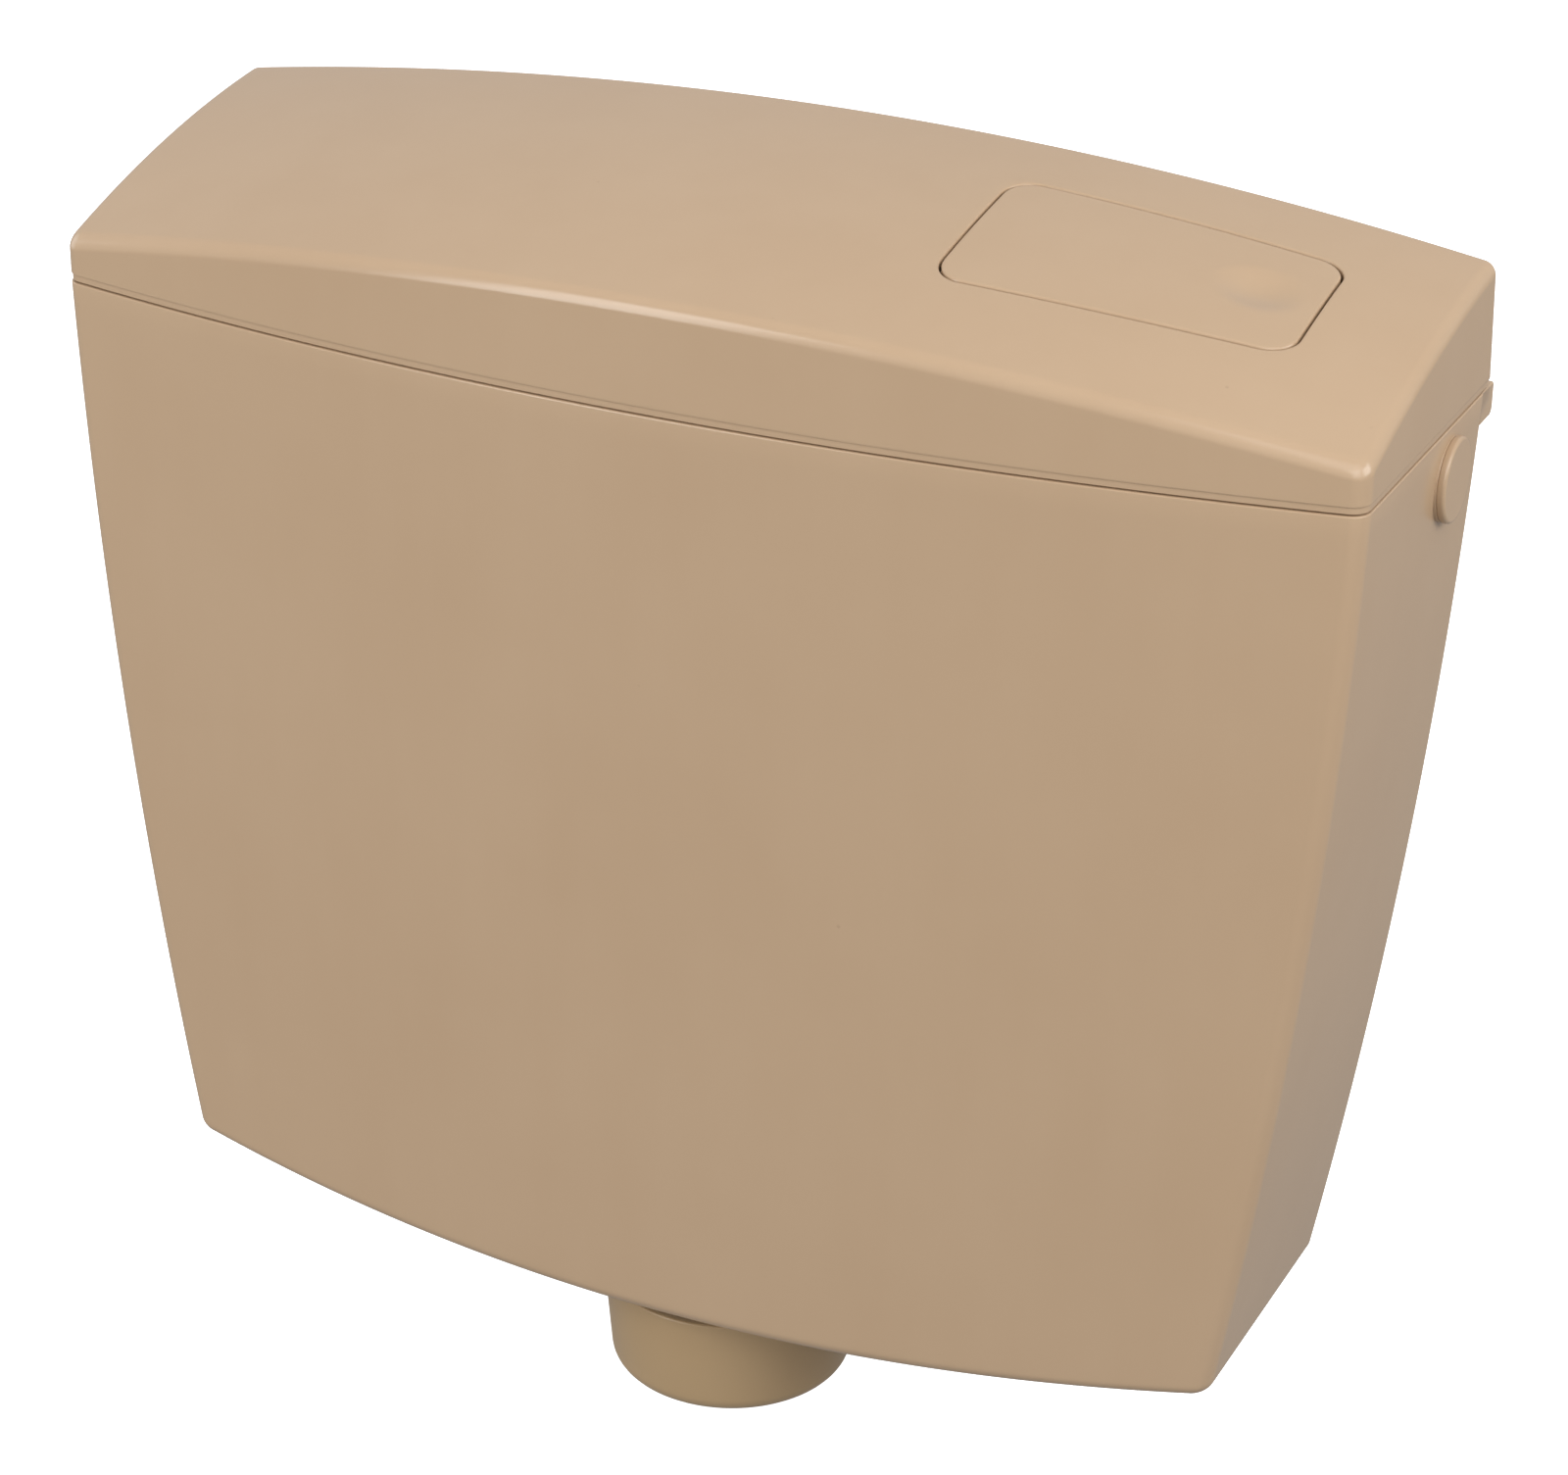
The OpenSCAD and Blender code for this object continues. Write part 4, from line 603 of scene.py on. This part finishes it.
# Blanking cap
# A round beige plug for the spare inlet on the right end: a low head with a rounded edge and a hollow
# threaded shank, pulled against the pad by a white nut and a rubber washer inside.
CAP_R, CAP_HEIGHT, CAP_EDGE_R, CAP_FACE_IN = 13.5, 2.6, 1.2, 0.3
CAP_SHANK_R, CAP_BORE_R, CAP_SHANK, CAP_CORE_R = 10.4, 7.5, 16.1, 0.1
cap = solid("blanking_plug", lathe(filleted([
    (CAP_CORE_R, CAP_HEIGHT, 0), (CAP_R - CAP_EDGE_R - CAP_FACE_IN, CAP_HEIGHT, 0),
    (CAP_R, CAP_HEIGHT, CAP_EDGE_R), (CAP_R, 0, 0.4), (CAP_SHANK_R, 0, 0.3),
    (CAP_SHANK_R, -CAP_SHANK, 0.4), (CAP_BORE_R, -CAP_SHANK, 0.3), (CAP_BORE_R, 0, 0.5), (CAP_CORE_R, 0, 0),
]), "x", (INLET_PAD_OUT, INLET_Y, INLET_Z), 128))
fitted(cap, glossy_beige("cap_beige"), "tank", "cap", "blanking_cap")
dress(rubber_finish, "blanking_washer")
dress(white_finish, "blanking_nut")

# Lid
# An arched cover of the same glossy beige plastic, moulded about 2.6 mm thick with a well rounded edge. It
# only rests on the rim: under the small stepped border at its foot is a thin dark gap, and a skirt inside
# keeps it in place. Two lugs underneath hold the flush plate's steel hinge pin.
LID_HALF, LID_CORNER_Y, LID_BOW = 220.0, -125.0, 22.5
LID_FRONT_UP, LID_RISE, LID_CROWN, LID_ARCH, ARCH_LOSS = 14.0, 27.0, 4.2, 21.7, 4.2
LID_SKIN, LID_OVER, LID_LEAN, LID_EDGE_R = 2.6, 6.0, 3.5, 4.0
BORDER_HEIGHT, BORDER_IN, BORDER_R = 2.7, 0.4, 0.15
STEP_TOP, STEP_IN, STEP_UP = 0.35, np.array([0.08, 0.3, BORDER_IN]), np.array([[0.12], [0.0], [-0.05]])
SHADOW_GAP, SHADOW_IN = 0.55, 1.9
SKIRT_HEIGHT, SKIRT_OUT, SKIRT_IN, SKIRT_CHAMFER = 3.5, 3.6, 5.8, 0.5
PLATE_X, PLATE_BACK, PLATE_HALF_L, PLATE_HALF_W, PLATE_R, PLATE_GAP = 129.0, -40.5, 54.0, 29.63, 9.0, 0.8
PLATE_FRONT_IN, OPENING_EDGE_R = 40.0, 0.7
HINGE_X, HINGE_Z, HINGE_LUG_R = 81.0, 74.0025, 5.0
LID_LUGS, LID_PIN_R, LID_PIN_CUT = ((-110.85, -105.85), (-39.1, -34.1)), 2.025, (-114, -31)


def lid_front(x):
    """Front line of the lid in plan, the parabola y = -125 - 22.5 * (1 - (x / 220)^2)."""
    return LID_CORNER_Y - LID_BOW * (1 - (x / LID_HALF) ** 2)


def lid_top(x, y):
    """Height of the lid's top: at the share f of the way from its bowed front line to its back it rises from
    14 to 41 over the rim, crowned by 4 * 4.2 * f * (1 - f), and arches along X by (1 - (x / 220)^2) times
    21.7 at the front to 17.5 at the back."""
    f = (y - lid_front(x)) / (BACK + LID_OVER - LID_LEAN - lid_front(x))
    arch = (LID_ARCH - ARCH_LOSS * f) * (1 - (x / LID_HALF) ** 2)
    return RIM + LID_FRONT_UP + LID_RISE * f + 4 * LID_CROWN * f * (1 - f) + arch


def lid_plan(inset, over):
    """Plan rings of the lid, set in from its outline and reaching behind the tank's back by over."""
    inset, over = column(inset, over)
    return np.stack(plan_outline(LID_HALF - inset, BACK + over - inset, inset + LID_CORNER_Y, LID_BOW,
                                 *corner_radii(inset)), axis=-1)


def lid_ring(inset, over, z):
    """Those rings at the height z."""
    return at_height(lid_plan(inset, over), z)


def plate_plan(inset):
    """Plan rings of the flush plate, set in from its edge; a negative inset widens them. A rounded rectangle
    is drawn out between the plate's straight back and its front edge, 40 behind the lid's front line."""
    inset, = column(inset)
    half = PLATE_HALF_W - inset
    x, y = plan_outline(PLATE_HALF_L - inset, half, -half, 0, PLATE_R - inset, PLATE_R - inset)
    x, back = PLATE_X + x, PLATE_BACK - inset
    depth = lid_front(x) + PLATE_FRONT_IN + inset - back
    return np.stack([x, back + depth * (half - y) / half / 2], axis=-1)


def under_top(plan, depth):
    """Rings with that plan at a depth under the lid's top."""
    return at_height(plan, lid_top(plan[..., 0], plan[..., 1]) - depth)


def lid_edge(inset, radius, steps):
    """Rings of the lid's rounded edge, a quarter circle from the top down to the upright face."""
    turn = np.linspace(math.pi / 2, 0, steps + 1)[:, None]
    plan = lid_plan(inset + radius * (1 - np.cos(turn)), LID_OVER - LID_LEAN)
    return under_top(plan, inset + radius * (1 - np.sin(turn)))


def spread(start, end, shares):
    """Plan rings at those shares of the way from one ring to another."""
    return start + (end - start) * shares[:, None, None]


top_shares = np.concatenate([[0.012], np.linspace(0, 1, 49)[1:-1], [0.985]])
opening_turn = np.linspace(0, math.pi / 2, 6)[:, None]
opening = plate_plan(-PLATE_GAP - OPENING_EDGE_R * (1 - np.cos(opening_turn)))
edge = lid_edge(0, LID_EDGE_R, 14)
inner_edge = lid_edge(LID_SKIN, LID_EDGE_R - LID_SKIN, 8)
border_z, shadow_z, skirt_z = RIM + BORDER_HEIGHT, RIM + SHADOW_GAP, RIM - SKIRT_HEIGHT
fascia_foot = lid_ring(0, LID_OVER, border_z + STEP_TOP)
lid = solid("lid_cover", shell(np.concatenate([
    under_top(plate_plan(-PLATE_GAP), LID_SKIN),
    under_top(opening, OPENING_EDGE_R * (1 - np.sin(opening_turn))),
    under_top(spread(opening[-1:], edge[:1, :, :2], top_shares), 0), edge,
    spread(edge[-1:], fascia_foot, along(6, 0.02)), fascia_foot,
    lid_ring(STEP_IN, LID_OVER, border_z + STEP_UP),
    lid_ring(BORDER_IN, LID_OVER, shadow_z + BORDER_R), lid_ring(BORDER_IN + BORDER_R, LID_OVER, shadow_z),
    lid_ring(SHADOW_IN, LID_OVER, shadow_z), lid_ring(SHADOW_IN, LID_OVER, RIM),
    lid_ring(SKIRT_OUT, 0, RIM), lid_ring(SKIRT_OUT, 0, skirt_z + SKIRT_CHAMFER),
    lid_ring(SKIRT_OUT + SKIRT_CHAMFER, 0, skirt_z), lid_ring(SKIRT_IN - SKIRT_CHAMFER, 0, skirt_z),
    lid_ring(SKIRT_IN, 0, skirt_z + SKIRT_CHAMFER), lid_ring(SKIRT_IN, 0, RIM + LID_SKIN),
    lid_ring(LID_SKIN, LID_OVER, border_z + LID_SKIN), inner_edge[::-1],
    under_top(spread(inner_edge[:1, :, :2], plate_plan(-PLATE_GAP), np.linspace(0, 1, 26)[1:-1]), LID_SKIN),
]), joined=True))


def hinge_lug(y0, y1, top):
    """Lug round the hinge pin between y0 and y1: a half circle under the pin, upright sides, and an upper
    face at the height top(x, y)."""
    turn = np.linspace(-math.pi, 0, 25)
    x = HINGE_X + HINGE_LUG_R * np.concatenate([np.cos(turn), np.linspace(1, -1, 9)])
    y = np.array([y0, y0 + 0.01, y1 - 0.01, y1])[:, None] + 0 * x
    x = x + 0 * y
    z = top(x, y)
    z[:, :len(turn)] = HINGE_Z + HINGE_LUG_R * np.sin(turn)
    return shell(np.stack([x, y, z], axis=-1))


def lid_inside(x, y):
    """Height half way through the lid's skin."""
    return lid_top(x, y) - LID_SKIN / 2


worked(lid, "UNION", *(hinge_lug(y0, y1, lid_inside) for y0, y1 in LID_LUGS))
worked(lid, "DIFFERENCE", bar("y", LID_PIN_R, *LID_PIN_CUT, (HINGE_X, 0, HINGE_Z), count=48))
fitted(lid, glossy_beige("lid_beige"), "lid", "lid", "lid")
dress(steel_finish, "plate_hinge_pin")

# Flush plate
# A rocking plate that lies flush in the lid's opening, moulded in the same beige plastic with a thumb hollow
# at its right end, a rim underneath, two lugs on the hinge pin and a leg that presses the lever.
PLATE_SKIN, PLATE_RIM_HEIGHT, PLATE_RIM, PLATE_EDGE_R, PLATE_CHAMFER = 2.8, 7.0, 1.8, 0.7, 0.4
THUMB_RIGHT, THUMB_FRONT, THUMB_HALF_L, THUMB_HALF_W, THUMB_DEPTH = 35.0, 25.5, 15.5, 12.5, 2.2
PRESSER_X, PRESSER_FOOT, PRESSER_R = 161.0, 33.6, 4.0
PLATE_LUGS, PLATE_PIN_R, PLATE_PIN_CUT = ((-100.15, -95.15), (-49.8, -44.8)), 2.05, (-103, -42)


def plate_top(x, y):
    """Height of the plate's top: the lid's top less 2.2 * (1 - u^2 - v^2)^2 inside the thumb hollow, an
    ellipse of 31 by 25."""
    u, v = (x - PLATE_X - THUMB_RIGHT) / THUMB_HALF_L, (y - PLATE_BACK + THUMB_FRONT) / THUMB_HALF_W
    return lid_top(x, y) - THUMB_DEPTH * np.maximum(0, 1 - u * u - v * v) ** 2


def under_plate(plan, depth):
    """Rings with that plan at a depth under the plate's top."""
    return at_height(plan, plate_top(plan[..., 0], plan[..., 1]) - depth)


def shrunk(ring, shares):
    """Copies of a plan ring shrunk towards the plate's middle to those shares of its size."""
    middle = np.array([PLATE_X, PLATE_BACK - PLATE_HALF_W])
    return middle + (ring - middle) * np.asarray(shares, float)[:, None, None]


plate_turn = np.linspace(math.pi / 2, 0, 6)[:, None]
plate_edge = plate_plan(PLATE_EDGE_R * (1 - np.cos(plate_turn)))
plate = solid("flush_plate_shell", shell(np.concatenate([
    under_plate(shrunk(plate_edge[0], np.append(np.linspace(0, 1, 61)[1:-1], 0.993)), 0),
    under_plate(plate_edge, PLATE_EDGE_R * (1 - np.sin(plate_turn))),
    under_plate(plate_plan(0), PLATE_RIM_HEIGHT - PLATE_CHAMFER),
    under_plate(plate_plan(PLATE_CHAMFER), PLATE_RIM_HEIGHT),
    under_plate(plate_plan(PLATE_RIM - PLATE_CHAMFER), PLATE_RIM_HEIGHT),
    under_plate(plate_plan(PLATE_RIM), PLATE_RIM_HEIGHT - PLATE_CHAMFER),
    under_plate(plate_plan(PLATE_RIM), PLATE_SKIN),
    under_plate(shrunk(plate_plan(PLATE_RIM)[0], np.linspace(1, 0, 31)[1:-1]), PLATE_SKIN),
])))


def plate_inside(x, y):
    """Height half way through the plate's skin."""
    return plate_top(x, y) - PLATE_SKIN / 2


# The leg is a round bar with a ball foot, whose last ring follows the plate.
leg_turn = np.linspace(-math.pi / 2, 0, 10)[1:]
leg_radius = np.concatenate([[0.05], PRESSER_R * np.cos(leg_turn), [PRESSER_R]])
leg_round = np.linspace(0, 2 * math.pi, 48, endpoint=False)
leg_x = PRESSER_X + leg_radius[:, None] * np.cos(leg_round)
leg_y = OUTLET_Y + leg_radius[:, None] * np.sin(leg_round)
leg_up = np.concatenate([[PRESSER_FOOT], PRESSER_FOOT + PRESSER_R + PRESSER_R * np.sin(leg_turn), [0]])
leg_z = leg_up[:, None] + 0 * leg_x
leg_z[-1] = plate_inside(leg_x[-1], leg_y[-1])
worked(plate, "UNION", *(hinge_lug(y0, y1, plate_inside) for y0, y1 in PLATE_LUGS),
       shell(np.stack([leg_x, leg_y, leg_z], axis=-1)))
worked(plate, "DIFFERENCE", bar("y", PLATE_PIN_R, *PLATE_PIN_CUT, (HINGE_X, 0, HINGE_Z), count=48))
fitted(plate, glossy_beige("plate_beige"), "flush_plate", "plate", "flush_plate")

# Studio
# A plain white floor a little below the object, soft light from large panels, and the camera of the
# photograph, worked out for a frame of 1600 by 1505. The floor shows from above only and gives no light back.
FLOOR_HALF, FLOOR_BELOW = 6.0, 0.03
floor_z = cad_low.z - FLOOR_BELOW
floor_mesh = bpy.data.meshes.new("floor")
floor_plan = FLOOR_HALF * np.array([(-1, -1), (1, -1), (1, 1), (-1, 1)])
floor_mesh.from_pydata([(x, y, floor_z) for x, y in floor_plan], [], [(0, 1, 2, 3)])
floor = bpy.data.objects.new("floor", floor_mesh)
bpy.context.scene.collection.objects.link(floor)
floor.visible_diffuse = floor.visible_glossy = floor.visible_shadow = False
floor_finish, tree, shader = new_material("white_floor")
for label, value in (("Base Color", (0.8, 0.8, 0.8, 1)), ("Roughness", 0.9), ("Emission Color", (1, 1, 1, 1)),
                     ("Emission Strength", 0.9)):
    shader.inputs[label].default_value = value
from_below = add(tree, "NewGeometry").outputs["Backfacing"]
clear = add(tree, "BsdfTransparent").outputs["BSDF"]
floor_seen = add(tree, "MixShader", {0: from_below, 1: shader.outputs["BSDF"], 2: clear})
tree.links.new(floor_seen.outputs[0], tree.nodes["Material Output"].inputs["Surface"])
floor_mesh.materials.append(floor_finish)

# The sky lights the object more from above than from below, and the camera sees it plain white.
SKY_BELOW, SKY_ABOVE, HORIZON = 0.29, 0.6, 0.05
world = bpy.data.worlds.new("studio")
world.use_nodes = True
sky = world.node_tree
sky_light = sky.nodes["Background"]
sky_light.inputs["Color"].default_value = (1, 1, 1, 1)
sky_way = add(sky, "SeparateXYZ", {0: add(sky, "TexCoord").outputs["Generated"]}).outputs["Z"]
sky.links.new(remap(sky, sky_way, -HORIZON, HORIZON, SKY_BELOW, SKY_ABOVE), sky_light.inputs["Strength"])
sky_seen = add(sky, "Background", {"Color": (1, 1, 1, 1), "Strength": 1.0}).outputs[0]
camera_ray = add(sky, "LightPath").outputs["Is Camera Ray"]
sky_mix = add(sky, "MixShader", {0: camera_ray, 1: sky_light.outputs[0], 2: sky_seen})
sky.links.new(sky_mix.outputs[0], sky.nodes["World Output"].inputs["Surface"])
bpy.context.scene.world = world

LIT_MIDDLE, LIGHT_REACH = np.array([0, -0.07, -0.1]), 2.2


def placed(made, x, y, z, spot):
    """Puts a lamp or the camera in the scene at the spot, in metres, with its own axes along x, y and z."""
    bpy.context.scene.collection.objects.link(made)
    made.matrix_world = Matrix(np.vstack([np.column_stack([x, y, z, spot]), (0, 0, 0, 1)]).tolist())


def direction(around, above):
    """Unit vector towards an azimuth, from the front to the right, and an elevation, both in radians."""
    level = math.cos(above)
    return np.array([math.sin(around) * level, -math.cos(around) * level, math.sin(above)])


def panel(name, azimuth, elevation, width, height, power):
    """Soft panel of light that faces the object's middle from 2.2 m away, in the direction given by its
    azimuth and its elevation in degrees. Width and height are in metres and the power in watts."""
    around, above = math.radians(azimuth), math.radians(elevation)
    z, x = direction(around, above), np.array([math.cos(around), math.sin(around), 0])
    light = bpy.data.lights.new(name, "AREA")
    light.shape, light.size, light.size_y, light.energy = "RECTANGLE", width, height, power
    placed(bpy.data.objects.new(name, light), x, np.cross(z, x), z, LIT_MIDDLE + LIGHT_REACH * z)


panel("front_left", -29, 20, 0.75, 1.9, 21.5)
panel("left_fill", -90, 12, 1.2, 1.2, 6)
panel("front_right_high", 45, 50, 1.2, 1.2, 6)
panel("front_right", 45, 30, 1.2, 1.2, 9.5)
panel("right", 90, 28, 1.2, 1.2, 19.5)

AZIMUTH, ELEVATION, ROLL = math.radians(25.218), math.radians(25.502), math.radians(0.7)
AIM, AIM_RIGHT, AIM_UP, DISTANCE = np.array([0, -70, -105]), 11.257, 5.004, 1416.37
FOCAL_PIXELS, FRAME_PIXELS, SENSOR = 4403.61, 1600, 36
back_way = direction(AZIMUTH, ELEVATION)
level_way = np.array([math.cos(AZIMUTH), math.sin(AZIMUTH), 0])
steep_way = np.cross(back_way, level_way)
right_way = math.cos(ROLL) * level_way + math.sin(ROLL) * steep_way
up_way = math.cos(ROLL) * steep_way - math.sin(ROLL) * level_way
eye = (AIM + AIM_RIGHT * right_way + AIM_UP * up_way + DISTANCE * back_way) * MILLIMETRE
camera_data = bpy.data.cameras.new("camera")
camera_data.sensor_fit, camera_data.sensor_width = "HORIZONTAL", SENSOR
camera_data.lens = FOCAL_PIXELS * SENSOR / FRAME_PIXELS
camera = bpy.data.objects.new("camera", camera_data)
placed(camera, right_way, up_way, back_way, eye)
bpy.context.scene.camera = camera
bpy.context.scene.view_settings.view_transform = "Standard"
